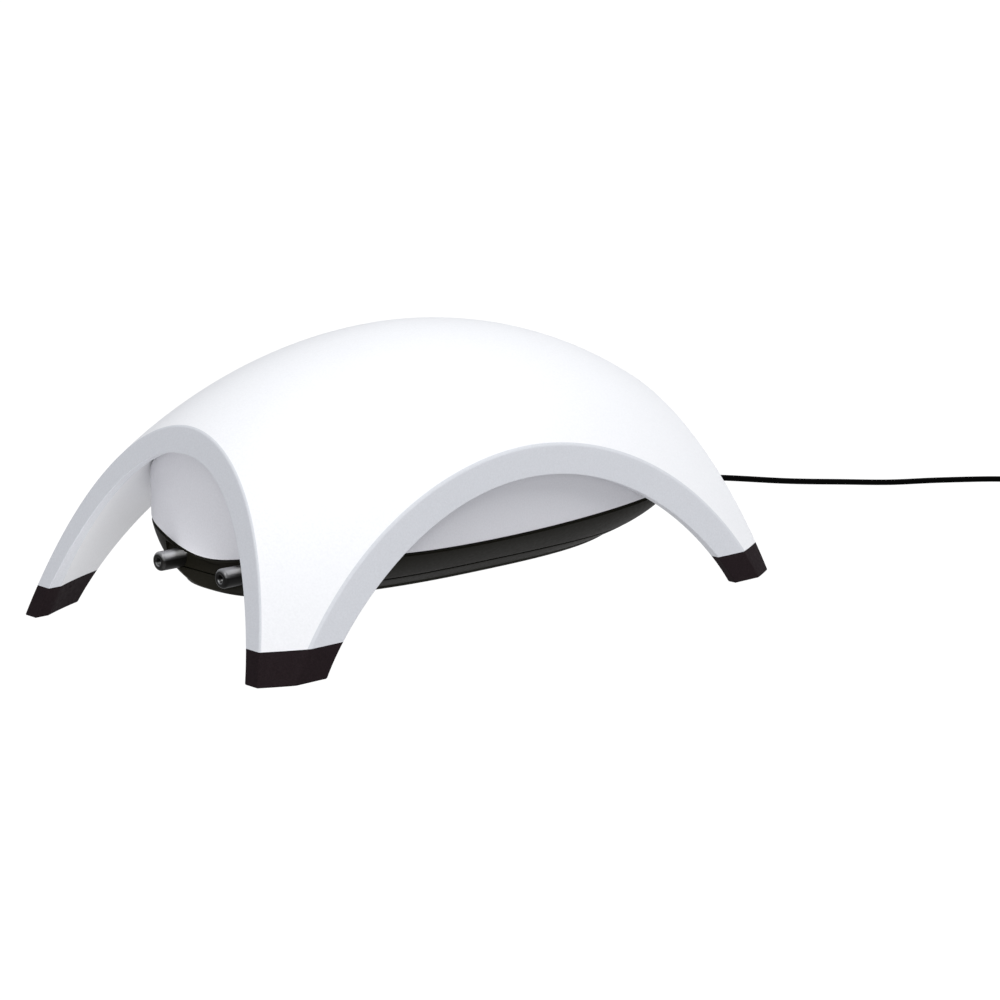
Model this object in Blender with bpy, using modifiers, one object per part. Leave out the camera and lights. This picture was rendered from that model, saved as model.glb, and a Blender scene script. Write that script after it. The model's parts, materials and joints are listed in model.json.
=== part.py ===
"""Twin-outlet diaphragm air pump under a four-legged arched dome.

Metres, +Z up. The outlets face -X (the front), the power cable leaves at +X.
Left and right are the pump's own, so left is -Y. Everything is laid out above
the ground and then parented to one empty that puts the origin at the centre of
the bottom cover's flat underside.
"""

import math

import bmesh
import bpy
from mathutils import Matrix, Vector

MM = 0.001

# ---------------------------------------------------------------- dimensions
# Dome: |x/A|^NX + |y/B|^NY + ((z-Z0)/C)^NZ = 1, trimmed by four leaning planes.
DOME_A, DOME_B, DOME_C, DOME_Z0 = 155.6 * MM, 87.5 * MM, 250.2 * MM, -174.9 * MM
DOME_NX, DOME_NY, DOME_NZ = 1.933, 1.961, 3.297
DOME_SKIRT = 0.75  # how far the sheet runs down, past the ground
DOME_WALL = 6.0 * MM
HALF_LENGTH, HALF_WIDTH = 92.0 * MM, 54.4 * MM  # at the ground
END_LEAN, SIDE_LEAN = math.radians(18.1), math.radians(6.4)
# Arched openings: half width, height, base of the curve, width and height exponents.
END_ARCH = (45.8 * MM, 53.2 * MM, -4.2 * MM, 2.128, 1.2385)
SIDE_ARCH = (74.7 * MM, 42.0 * MM, -2.2 * MM, 2.029, 1.2)
ARCH_STEPS, ARCH_DEPTH = 28, 30 * MM

# Feet, and the pegs that hold them to the dome
FOOT_HEIGHT = 8.2 * MM
FOOT_INNER_X, FOOT_INNER_Y = 50 * MM, 25 * MM
PEG_X, PEG_Y, PEG_Z = 79.6 * MM, 47.0 * MM, FOOT_HEIGHT - 2 * MM
PEG_R, PEG_LENGTH = 1.4 * MM, 5.5 * MM
PEG_SOCKET_R, PEG_SOCKET_DEPTH = 1.8 * MM, 6.2 * MM

# Pump body that hangs inside the dome, superelliptic in plan.
POD_A, POD_B, POD_N = 70.0 * MM, 45.5 * MM, 6.0
POD_BOW = 0.174  # how far the front end curves back at its corners, as a share of POD_A
POD_WALL = 2.2 * MM
ROOF_GAP = 0.4 * MM
OUTLINE_POINTS = 40
SEAM_Z, SEAM_DIP, SEAM_DIP_WIDTH = 23.83 * MM, 6.21 * MM, 24.7 * MM
SEAM_RISE, SEAM_TILT, SEAM_REACH = 3.05 * MM, 0.89 * MM, 60 * MM
SEAM_DIP_START, SEAM_DIP_RUN = 45 * MM, 20 * MM  # |x| where the dip starts, length it grows over
PARTING_Z = 16.1 * MM
KEEL_Z, KEEL_A, KEEL_B, KEEL_N = 11.5 * MM, 68.1 * MM, 30.6 * MM, 2.1
KEEL_ROUND = 1.2 * MM
HULL_FULLNESS = 1.32
COVER_FLOOR = 2.0 * MM
PAST_X, PAST_Y = 82 * MM, 55 * MM  # just outside the pump body, for cutters

# Outlets
NOZZLE_Y, NOZZLE_Z = 13.2 * MM, 18.2 * MM
NOZZLE_TIP, NOZZLE_R, NOZZLE_BORE = 74.7 * MM, 2.6 * MM, 0.95 * MM
FLANGE_ROOM_R = 4.0 * MM
RECESS_X, RECESS_DRAFT, RECESS_LEVEL = -66.9 * MM, 0.19, 20 * MM  # back at the level, its lean
RECESS_LOW = 12.0 * MM
RECESS_TOP = [(0, 20.2), (6, 20.5), (12, 21.25), (19, 21.95)]  # y and z in mm, both sides

# Screws that close the case, and the two that hang it from the dome
BOSS_X, BOSS_Y = 48.0 * MM, 20.0 * MM
HANG_X = 58.0 * MM
SCREW_HOLE_R, SCREW_SHANK_R = 1.8 * MM, 1.45 * MM

# Drive
PIVOT_X, PIVOT_Y, ARM_Z = -40.0 * MM, 31.0 * MM, 36.0 * MM
COIL_X, CORE_HALF = 25.0 * MM, 6 * MM
BELLOWS_X = -20.0 * MM
VALVE_SPREAD = 6.5 * MM
INLET_X = BELLOWS_X + VALVE_SPREAD * 0.55
OUTLET_X = BELLOWS_X - VALVE_SPREAD
SPIGOT_Z = ARM_Z - 6 * MM
VALVE_BOX_OUTER_Y = 18.2 * MM
FRAME_Z0, FRAME_Z1 = 22.0 * MM, 24.0 * MM
ISOLATOR_X, ISOLATOR_Y, ISOLATOR_R = 32.0 * MM, 23.0 * MM, 3.4 * MM
ISOLATOR_POST_TOP = 18.0 * MM
SADDLE_HALF_X, SADDLE_Y0, SADDLE_Y1 = 9.5 * MM, 16.6 * MM, 20.4 * MM
CLAMP_Y, CLAMP_SCREW_X = (SADDLE_Y0 + SADDLE_Y1) / 2, 7.8 * MM  # screws either side of COIL_X
SMALL_HOLE_R, SMALL_SHANK_R = 1.0 * MM, 0.7 * MM

# Cable
CABLE_R, CABLE_Z = 0.9 * MM, 19.4 * MM
CABLE_SCREW_X, CABLE_SCREW_Y = 53.8 * MM, 3.4 * MM

GAP = 0.3 * MM

SIDES = (("left", -1), ("right", 1))  # sign of y
CORNERS = {  # signs of x and y
    "front_left": (-1, -1),
    "front_right": (-1, 1),
    "rear_left": (1, -1),
    "rear_right": (1, 1),
}

# ---------------------------------------------------------------- scene setup
for old in list(bpy.data.objects):
    bpy.data.objects.remove(old, do_unlink=True)

PARTS = bpy.data.collections.new("twin_outlet_air_pump")
CUTTERS = bpy.data.collections.new("cutters")
bpy.context.scene.collection.children.link(PARTS)
bpy.context.scene.collection.children.link(CUTTERS)
CUTTERS.hide_render = True

frame = bpy.data.objects.new("pump_frame", None)
frame.location = (0, 0, -KEEL_Z)
PARTS.objects.link(frame)


def material(name, color, roughness, metallic=0.0):
    made = bpy.data.materials.new(name)
    made.use_nodes = True
    shader = made.node_tree.nodes["Principled BSDF"]
    shader.inputs["Base Color"].default_value = (*color, 1)
    shader.inputs["Roughness"].default_value = roughness
    shader.inputs["Metallic"].default_value = metallic
    return made


WHITE = material("white_satin_plastic", color=(0.90, 0.905, 0.92), roughness=0.42)
GREY = material("light_grey_plastic", color=(0.62, 0.62, 0.66), roughness=0.5)
BLACK = material("black_satin_plastic", color=(0.022, 0.021, 0.018), roughness=0.42)
NOZZLE = material("black_gloss_plastic", color=(0.018, 0.018, 0.017), roughness=0.3)
FOOT = material("aubergine_rubber", color=(0.035, 0.022, 0.026), roughness=0.75)
RUBBER = material("black_rubber", color=(0.02, 0.02, 0.02), roughness=0.8)
CABLE = material("cable_jacket", color=(0.015, 0.015, 0.015), roughness=0.5)
NATURAL = material("natural_nylon", color=(0.78, 0.76, 0.70), roughness=0.5)
STEEL = material("zinc_steel", color=(0.62, 0.63, 0.65), roughness=0.32, metallic=1.0)
IRON = material("core_steel", color=(0.30, 0.31, 0.33), roughness=0.45, metallic=1.0)
COPPER = material("enamelled_copper", color=(0.62, 0.25, 0.10), roughness=0.35, metallic=1.0)
MAGNET = material("ferrite", color=(0.06, 0.06, 0.065), roughness=0.55)
FELT = material("filter_felt", color=(0.75, 0.76, 0.74), roughness=0.95)
SILICONE = material("silicone_hose", color=(0.70, 0.72, 0.72), roughness=0.35)
LEAD = material("lead_insulation", color=(0.25, 0.12, 0.05), roughness=0.5)


# ---------------------------------------------------------------- helpers
# Every shape made without a material is a hidden cutter.
def add(name, mesh, mat=None, smooth=False):
    obj = bpy.data.objects.new(name, mesh)
    (PARTS if mat else CUTTERS).objects.link(obj)
    obj.parent = frame
    if mat:
        mesh.materials.clear()
        mesh.materials.append(mat)
        if smooth:
            mesh.shade_smooth()
            mesh.set_sharp_from_angle(angle=math.radians(35))
    else:
        obj.hide_render = True
        obj.display_type = "WIRE"
    return obj


def from_bmesh(bm):
    mesh = bpy.data.meshes.new("shape")
    bm.to_mesh(mesh)
    bm.free()
    return mesh


def metres(rows):
    """A table of millimetres turned into metres."""
    return [tuple(value * MM for value in row) for row in rows]


def share(value):
    return min(1.0, max(0.0, value))


def box(name, lo, hi, mat=None, bevel=0.0, origin=None):
    """A cuboid between two opposite corners, its origin at the centre unless given."""
    lo, hi = Vector(map(min, lo, hi)), Vector(map(max, lo, hi))
    centre = (lo + hi) / 2
    origin = centre if origin is None else Vector(origin)
    bm = bmesh.new()
    bmesh.ops.create_cube(bm, size=1.0)
    bmesh.ops.scale(bm, vec=hi - lo, verts=bm.verts)
    bmesh.ops.translate(bm, vec=centre - origin, verts=bm.verts)
    obj = add(name, from_bmesh(bm), mat)
    obj.location = origin
    if bevel:
        rounding = obj.modifiers.new("rounding", "BEVEL")
        rounding.width = bevel
        rounding.segments = 1
        rounding.limit_method = "ANGLE"
    return obj


# Euler angles that turn +Z onto each axis
TURN = {
    "+Z": (0, 0, 0),
    "-Z": (math.pi, 0, 0),
    "+X": (0, math.pi / 2, 0),
    "-X": (0, -math.pi / 2, 0),
    "+Y": (-math.pi / 2, 0, 0),
    "-Y": (math.pi / 2, 0, 0),
}


def rod(name, base, length, radius, axis="+Z", sides=20):
    """A cylindrical cutter that starts at base and runs length along axis."""
    bm = bmesh.new()
    bmesh.ops.create_cone(
        bm,
        cap_ends=True,
        segments=sides,
        radius1=radius,
        radius2=radius,
        depth=length,
        matrix=Matrix.Translation((0, 0, length / 2)),
    )
    obj = add(name, from_bmesh(bm))
    obj.location = base
    obj.rotation_euler = TURN[axis]
    return obj


def turned(name, profile, base, axis, mat, steps=20):
    """A turned piece from (radius, height) pairs; off the axis, the profile is closed."""
    bm = bmesh.new()
    points = [bm.verts.new((radius, 0, height)) for radius, height in profile]
    for near, far in zip(points, points[1:]):
        bm.edges.new((near, far))
    if profile[0][0] > 0:
        bm.edges.new((points[-1], points[0]))
    obj = add(name, from_bmesh(bm), mat)
    spin = obj.modifiers.new("turn", "SCREW")
    spin.steps = spin.render_steps = steps
    spin.use_merge_vertices = True
    spin.merge_threshold = 0.00001
    spin.use_smooth_shade = True
    obj.location = base
    obj.rotation_euler = TURN[axis]
    return obj


def boolean(obj, operation, others, solver="EXACT"):
    for other in others:
        step = obj.modifiers.new(operation.lower(), "BOOLEAN")
        step.operation = operation
        step.solver = solver
        step.object = other


def cut(obj, *others, solver="EXACT"):
    boolean(obj, "DIFFERENCE", others, solver)


def keep(obj, *others):
    boolean(obj, "INTERSECT", others)


def join(obj, *others):
    boolean(obj, "UNION", others)


def curve_to_mesh(curve, name, mat):
    """Replaces a curve object by its mesh, with the caps welded."""
    bpy.context.view_layer.update()
    graph = bpy.context.evaluated_depsgraph_get()
    mesh = bpy.data.meshes.new_from_object(curve.evaluated_get(graph))
    world = curve.matrix_world.copy()
    bm = bmesh.new()
    bm.from_mesh(mesh)
    bmesh.ops.remove_doubles(bm, verts=bm.verts, dist=0.00001)
    bmesh.ops.recalc_face_normals(bm, faces=bm.faces)
    bm.to_mesh(mesh)
    bm.free()
    bpy.data.objects.remove(curve, do_unlink=True)
    made = add(name, mesh, mat, smooth=True)
    made.matrix_local = world
    return made


def curve_object(name, dimensions, points):
    """A curve object with one straight-sided spline."""
    data = bpy.data.curves.new(name, "CURVE")
    data.dimensions = dimensions
    spline = data.splines.new("POLY")
    spline.points.add(len(points) - 1)
    for point, where in zip(spline.points, points):
        point.co = (*where, 1)
    obj = bpy.data.objects.new(name, data)
    CUTTERS.objects.link(obj)
    return obj


def prism(name, outline, start, length, plane="XY", mat=None):
    """A closed 2D outline extruded along its normal from start for length."""
    obj = curve_object(name + "_outline", "2D", [(u, v, 0) for u, v in outline])
    obj.data.fill_mode = "BOTH"
    obj.data.extrude = length / 2
    obj.data.splines[0].use_cyclic_u = True
    middle = start + length / 2
    if plane == "XY":
        obj.location = (0, 0, middle)
    elif plane == "YZ":  # outline u is +Y, v is +Z, extruded along X
        obj.rotation_euler = Matrix(((0, 0, 1), (1, 0, 0), (0, 1, 0))).to_euler()
        obj.location = (middle, 0, 0)
    else:  # "XZ": outline u is -X, v is +Z, extruded along Y
        obj.rotation_euler = Matrix(((-1, 0, 0), (0, 0, 1), (0, 1, 0))).to_euler()
        obj.location = (0, middle, 0)
    return curve_to_mesh(obj, name, mat)


def tube(name, points, radius, mat=None, resolution=2):
    """A capped solid tube along straight spans."""
    obj = curve_object(name + "_path", "3D", points)
    obj.data.bevel_depth = radius
    obj.data.bevel_resolution = resolution
    obj.data.use_fill_caps = True
    return curve_to_mesh(obj, name, mat)


def loft(name, rings, mat=None):
    """A closed skin through rings of equal count, capped at both ends."""
    bm = bmesh.new()
    loops = [[bm.verts.new(point) for point in ring] for ring in rings]
    count = len(loops[0])
    for low, high in zip(loops, loops[1:]):
        for i in range(count):
            j = (i + 1) % count
            bm.faces.new((low[i], low[j], high[j], high[i]))
    bm.faces.new(list(reversed(loops[0])))
    bm.faces.new(loops[-1])
    bmesh.ops.recalc_face_normals(bm, faces=bm.faces)
    return add(name, from_bmesh(bm), mat, smooth=True)


def grid_mesh(columns, rows, place):
    """A grid over -1..1 whose points are moved to place(x, y)."""
    bpy.ops.mesh.primitive_grid_add(x_subdivisions=columns, y_subdivisions=rows, size=2)
    obj = bpy.context.object
    mesh = obj.data
    bpy.data.objects.remove(obj, do_unlink=True)
    for vert in mesh.vertices:
        vert.co = place(vert.co.x, vert.co.y)
    mesh.update()
    return mesh


def boss_rods(name, z, length, radius, sides):
    """One rod on each of the four case screw axes."""
    return [
        rod(f"{name}_{i}", (sign_x * BOSS_X, sign_y * BOSS_Y, z), length, radius, sides=sides)
        for i, (sign_x, sign_y) in enumerate(CORNERS.values())
    ]


def hang_rods(name, z, length, radius, sides):
    """One rod on each of the two hanging screw axes."""
    return [
        rod(f"{name}_{i}", (sign * HANG_X, 0, z), length, radius, sides=sides)
        for i, sign in enumerate((-1, 1))
    ]


def outlet_rods(hole, hole_length, flange, flange_x, flange_length):
    """Room for both nozzles and their flanges."""
    rods = []
    for i, (_, sign) in enumerate(SIDES):
        y = sign * NOZZLE_Y
        at_front, at_flange = (-PAST_X, y, NOZZLE_Z), (flange_x, y, NOZZLE_Z)
        rods.append(rod(f"{hole}_{i}", at_front, hole_length, NOZZLE_R + GAP, "+X"))
        rods.append(rod(f"{flange}_{i}", at_flange, flange_length, FLANGE_ROOM_R, "+X"))
    return rods


# ---------------------------------------------------------------- dome
def dome_point(across, along):
    """A point of the unit square laid onto an ellipse and raised to the dome."""
    x = DOME_A * DOME_SKIRT ** (1 / DOME_NX) * across * math.sqrt(1 - along * along / 2)
    y = DOME_B * DOME_SKIRT ** (1 / DOME_NY) * along * math.sqrt(1 - across * across / 2)
    left = 1 - abs(x / DOME_A) ** DOME_NX - abs(y / DOME_B) ** DOME_NY
    return x, y, DOME_Z0 + DOME_C * max(left, 0.01) ** (1 / DOME_NZ)


DOME_SHEET = grid_mesh(22, 16, dome_point)


def thickened(name, inward, outward=0.0, mat=None):
    """The dome's outer skin, thickened to either side."""
    obj = add(name, DOME_SHEET.copy(), mat, smooth=True)
    skin = obj.modifiers.new("wall", "SOLIDIFY")
    skin.thickness = inward + outward
    skin.offset = (outward - inward) / (inward + outward)
    skin.use_even_offset = True
    return obj


def leaning_block(name, z0, z1, sign_x=0, sign_y=0):
    """A block whose walls follow the leaning planes, or one corner of it."""
    bm = bmesh.new()
    bmesh.ops.create_cube(bm, size=2.0)
    for vert in bm.verts:
        z = z1 if vert.co.z > 0 else z0
        vert_x = 1 if vert.co.x > 0 else -1
        vert_y = 1 if vert.co.y > 0 else -1
        x = vert_x * (HALF_LENGTH - z * math.tan(END_LEAN))
        y = vert_y * (HALF_WIDTH - z * math.tan(SIDE_LEAN))
        if sign_x and vert_x != sign_x:
            x = sign_x * FOOT_INNER_X
        if sign_y and vert_y != sign_y:
            y = sign_y * FOOT_INNER_Y
        vert.co = (x, y, z)
    return add(name, from_bmesh(bm))


def arch_outline(arch):
    half, height, base, width_power, height_power = arch
    points = [(half, -ARCH_DEPTH)]
    for i in range(ARCH_STEPS + 1):
        angle = math.pi * i / ARCH_STEPS
        cosine, sine = math.cos(angle), math.sin(angle)
        u = half * math.copysign(abs(cosine) ** (2 / width_power), cosine)
        points.append((u, base + height * max(sine, 0) ** (2 / height_power)))
    points.append((-half, -ARCH_DEPTH))
    return points


def make_dome(arches, hang_holes):
    dome = thickened("dome_shell", DOME_WALL, mat=WHITE)
    keep(dome, leaning_block("dome_block", FOOT_HEIGHT + GAP / 2, 90 * MM))
    cut(dome, *arches)
    for corner, (sign_x, sign_y) in CORNERS.items():
        at = (sign_x * PEG_X, sign_y * PEG_Y, PEG_Z)
        socket = rod(f"peg_socket_{corner}", at, PEG_SOCKET_DEPTH, PEG_SOCKET_R, sides=12)
        cut(dome, socket, solver="MANIFOLD")
    cut(dome, *hang_holes, solver="MANIFOLD")


def make_feet(arches):
    for corner, (sign_x, sign_y) in CORNERS.items():
        foot = thickened(f"foot_{corner}", DOME_WALL, mat=FOOT)
        top = FOOT_HEIGHT - GAP / 2
        keep(foot, leaning_block(f"foot_block_{corner}", 0, top, sign_x, sign_y))
        cut(foot, *arches)
        at = (sign_x * PEG_X, sign_y * PEG_Y, PEG_Z)
        join(foot, rod(f"peg_{corner}", at, PEG_LENGTH, PEG_R, sides=12))


# ---------------------------------------------------------------- pump body
def outline_point(angle, a, b, n, bow):
    """A rounded rectangle whose front end, at -X, curves back towards its corners."""
    cosine, sine = math.cos(angle), math.sin(angle)
    radius = (abs(cosine) ** n + abs(sine) ** n) ** (-1 / n)
    u, v = radius * cosine, radius * sine
    return a * u * (1 - (bow * v * v if u < 0 else 0)), b * v


def pod_plan(inset=0.0):
    return [
        outline_point(
            2 * math.pi * i / OUTLINE_POINTS, POD_A - inset, POD_B - inset, POD_N, POD_BOW
        )
        for i in range(OUTLINE_POINTS)
    ]


def seam_height(x, y):
    """The joint between housing and tray: it rises to both ends and dips at their middles."""
    end = share((abs(x) - SEAM_DIP_START) / SEAM_DIP_RUN)
    far = x / SEAM_REACH
    dip = SEAM_DIP * end * math.exp(-((y / SEAM_DIP_WIDTH) ** 2))
    return SEAM_Z + SEAM_RISE * far * far + SEAM_TILT * far - dip


def seam_block(name, shift, up):
    """A thick slab above (up) or below the seam, shifted by shift."""

    def place(x, y):
        x, y = x * PAST_X, y * PAST_Y
        return x, y, seam_height(x, y) + shift

    obj = add(name, grid_mesh(16, 14, place))
    skin = obj.modifiers.new("depth", "SOLIDIFY")
    skin.thickness = 14 * MM
    skin.offset = 1 if up else -1
    skin.use_even_offset = False
    return obj


def hull_ring(z, inset):
    """The hull's outline at height z: oval at the keel, the pod's own plan at the seam."""
    ring = []
    for i in range(OUTLINE_POINTS):
        angle = 2 * math.pi * i / OUTLINE_POINTS
        seam = seam_height(*outline_point(angle, POD_A, POD_B, POD_N, POD_BOW))
        rise = share((z - KEEL_Z) / (seam - KEEL_Z))
        blend = 1 - (1 - rise) ** HULL_FULLNESS
        x, y = outline_point(
            angle,
            KEEL_A + (POD_A - KEEL_A) * blend - inset,
            KEEL_B + (POD_B - KEEL_B) * blend - inset,
            KEEL_N + (POD_N - KEEL_N) * blend,
            POD_BOW * blend,
        )
        ring.append((x, y, z))
    return ring


def hull(name, z0, z1, inset, steps, mat=None, keel_round=0.0):
    rings = []
    if keel_round:
        rings.append(hull_ring(z0, 1.6 * keel_round))
        z0 += keel_round
    for i in range(steps + 1):
        rings.append(hull_ring(z0 + (z1 - z0) * i / steps, inset))
    return loft(name, rings, mat)


def make_housing(hang_holes):
    """The upper half, its roof following the inside of the dome."""
    roof = DOME_WALL + ROOF_GAP
    above = 40 * MM
    housing = prism("pump_housing", pod_plan(), 18 * MM, 60 * MM, mat=GREY)
    cut(housing, thickened("dome_room", roof, above))
    cut(housing, seam_block("below_seam", GAP / 2, up=False))
    hollow = prism("housing_hollow", pod_plan(POD_WALL), 10 * MM, 70 * MM)
    cut(hollow, thickened("roof_room", roof + POD_WALL, above))
    cut(hollow, *boss_rods("case_boss", 24.6 * MM, 50 * MM, 3.6 * MM, sides=14))
    cut(hollow, *hang_rods("hang_boss", 51 * MM, 30 * MM, 4.2 * MM, sides=16))
    cut(housing, hollow)
    cut(housing, *boss_rods("case_pilot", 20 * MM, 16 * MM, SCREW_HOLE_R, sides=12))
    cut(housing, *hang_holes)


def front_recess():
    """The recess across the front that the outlets stand in; its top edge follows the seam."""
    rings = []
    for y, z in metres([(-y, z) for y, z in reversed(RECESS_TOP[1:])] + RECESS_TOP):
        back_low = RECESS_X - RECESS_DRAFT * (RECESS_LEVEL - RECESS_LOW)
        back_high = RECESS_X - RECESS_DRAFT * (RECESS_LEVEL - z)
        rings.append([
            (-PAST_X, y, RECESS_LOW),
            (back_low, y, RECESS_LOW),
            (back_high, y, z),
            (-PAST_X, y, z),
        ])
    return loft("front_recess", rings)


def make_tray(recess):
    """The ring under the housing, with the outlet openings and four lugs."""
    tray = hull("base_tray", KEEL_Z, SEAM_Z + 6 * MM, 0, 5, mat=BLACK)
    parting = PARTING_Z + GAP / 2
    cut(tray, box("under_parting", (-90 * MM, -60 * MM, 0), (90 * MM, 60 * MM, parting)))
    cut(tray, seam_block("above_seam", -GAP / 2, up=True))

    # What is cut from the hollow stays solid in the tray
    hollow = hull("ring_hollow", KEEL_Z - 1 * MM, SEAM_Z + 8 * MM, 2.6 * MM, 3)
    lug_z = 10 * MM
    for i, (sign_x, sign_y) in enumerate(CORNERS.values()):
        x, y = sign_x * BOSS_X, sign_y * BOSS_Y
        lug = rod(f"lug_{i}", (x, y, lug_z), 13.6 * MM, 3.7 * MM, sides=14)
        web_end = (x + 1.2 * MM, sign_y * 45 * MM, 21.5 * MM)
        web = box(f"lug_web_{i}", (x - 1.2 * MM, y, lug_z), web_end)
        cut(hollow, lug, web, solver="MANIFOLD")
    pad_x, pad_low, pad_high = 64.6 * MM, 5 * MM, 21.9 * MM
    cut(
        hollow,
        box("outlet_pad", (-80 * MM, -20 * MM, pad_low), (-pad_x, 20 * MM, pad_high)),
        box("entry_pad", (pad_x, -6 * MM, pad_low), (80 * MM, 6 * MM, pad_high)),
        solver="MANIFOLD",
    )
    cut(
        tray,
        hollow,
        *boss_rods("lug_hole", lug_z, 20 * MM, SCREW_HOLE_R, sides=12),
        *outlet_rods("outlet_hole", 24 * MM, "flange_room", -pad_x, 6 * MM),
        recess,
        rod("cable_entry", (58 * MM, 0, CABLE_Z), 24 * MM, 3.0 * MM, "+X"),
        solver="MANIFOLD",
    )


def make_cover(recess):
    """The dish that closes the tray from below."""
    cover = hull("bottom_cover", KEEL_Z, SEAM_Z, 0, 5, mat=BLACK, keel_round=KEEL_ROUND)
    parting = PARTING_Z - GAP / 2
    cut(cover, box("over_parting", (-90 * MM, -60 * MM, parting), (90 * MM, 60 * MM, 50 * MM)))
    dish = hull("dish_hollow", KEEL_Z + COVER_FLOOR, SEAM_Z + 4 * MM, 3.2 * MM, 3)
    below = 5 * MM
    cut(dish, *boss_rods("cover_post", below, 30 * MM, 4.6 * MM, sides=16))
    cut(cover, dish)
    for i, (sign_x, sign_y) in enumerate(CORNERS.values()):
        at = (sign_x * BOSS_X, sign_y * BOSS_Y, below)
        hole = rod(f"cover_hole_{i}", at, 20 * MM, SCREW_HOLE_R, sides=12)
        counterbore = rod(f"cover_counterbore_{i}", at, 9.2 * MM, 3.2 * MM, sides=14)
        cut(cover, hole, counterbore, solver="MANIFOLD")
        post = (sign_x * ISOLATOR_X, sign_y * ISOLATOR_Y, KEEL_Z + 1.0 * MM)
        height = ISOLATOR_POST_TOP - post[2]
        join(cover, rod(f"isolator_post_{i}", post, height, ISOLATOR_R, sides=16))
    cut(
        cover,
        *outlet_rods("nozzle_notch", 26 * MM, "flange_notch", -64.8 * MM, 9 * MM),
        recess,
        solver="MANIFOLD",
    )
    for i in range(6):
        x = (-17.5 + 7.0 * i) * MM
        slot_end = (x + 1 * MM, 9 * MM, 20 * MM)
        slot = box(f"intake_slot_{i}", (x - 1 * MM, -9 * MM, below), slot_end)
        cut(cover, slot, solver="MANIFOLD")


def make_filter():
    lo, hi = metres([(-19, -12, 13.8), (19, 12, 17.3)])
    box("felt_filter", lo, hi, FELT, bevel=1.0 * MM)


def make_gasket():
    gasket = prism("seam_gasket", pod_plan(6.4 * MM), 24.1 * MM, 3.0 * MM, mat=RUBBER)
    cut(gasket, prism("gasket_hole", pod_plan(7.5 * MM), 10 * MM, 30 * MM))


# ---------------------------------------------------------------- fasteners
def screw(name, base, axis, head_radius, head_height, shank_radius, length, mat=STEEL):
    """A pan-head screw; base is the top of the head, axis points to its tip."""
    profile = [
        (0, length),
        (shank_radius * 0.45, length),
        (shank_radius, length - 1.6 * MM),
        (shank_radius, head_height),
        (head_radius, head_height),
        (head_radius, 0.5 * MM),
        (head_radius * 0.8, 0),
        (0, 0),
    ]
    return turned(name, profile, base, axis, mat, steps=10)


def cross_screw(name, base, **sizes):
    """A screw pointing up, with a cross recess in its head."""
    piece = screw(name, base, "+Z", shank_radius=SCREW_SHANK_R, **sizes)
    x, y, z = base
    long, short = 1.6 * MM, 0.35 * MM
    for tag, half_x, half_y in (("a", long, short), ("b", short, long)):
        lo = (x - half_x, y - half_y, z - 1 * MM)
        hi = (x + half_x, y + half_y, z + 0.9 * MM)
        cut(piece, box(f"{name}_recess_{tag}", lo, hi))


def make_case_screws():
    case_sizes = dict(head_radius=2.8 * MM, head_height=1.7 * MM, length=22 * MM)
    for corner, (sign_x, sign_y) in CORNERS.items():
        base = (sign_x * BOSS_X, sign_y * BOSS_Y, 12.2 * MM)
        cross_screw(f"case_screw_{corner}", base, **case_sizes)
    hang_sizes = dict(head_radius=3.2 * MM, head_height=2.0 * MM, length=12.3 * MM)
    for end, sign in (("front", -1), ("rear", 1)):
        cross_screw(f"housing_screw_{end}", (sign * HANG_X, 0, 48.6 * MM), **hang_sizes)


# ---------------------------------------------------------------- outlets
def make_nozzle(side, sign):
    back, shoulder, flange_front = 58.6 * MM, 62.6 * MM, 64.2 * MM
    barb_r, flange_r = 2.0 * MM, 3.6 * MM
    profile = [
        (NOZZLE_BORE, NOZZLE_TIP),
        (NOZZLE_R - 0.75 * MM, NOZZLE_TIP),
        (NOZZLE_R - 0.22 * MM, NOZZLE_TIP - 0.22 * MM),
        (NOZZLE_R, NOZZLE_TIP - 0.75 * MM),
        (NOZZLE_R, flange_front),
        (flange_r, flange_front),
        (flange_r, shoulder),
        (barb_r, shoulder),
        (barb_r, back),
        (NOZZLE_BORE, back),
    ]
    base = (0, sign * NOZZLE_Y, NOZZLE_Z)
    turned(f"outlet_nozzle_{side}", profile, base, "-X", NOZZLE, steps=16)


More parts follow.
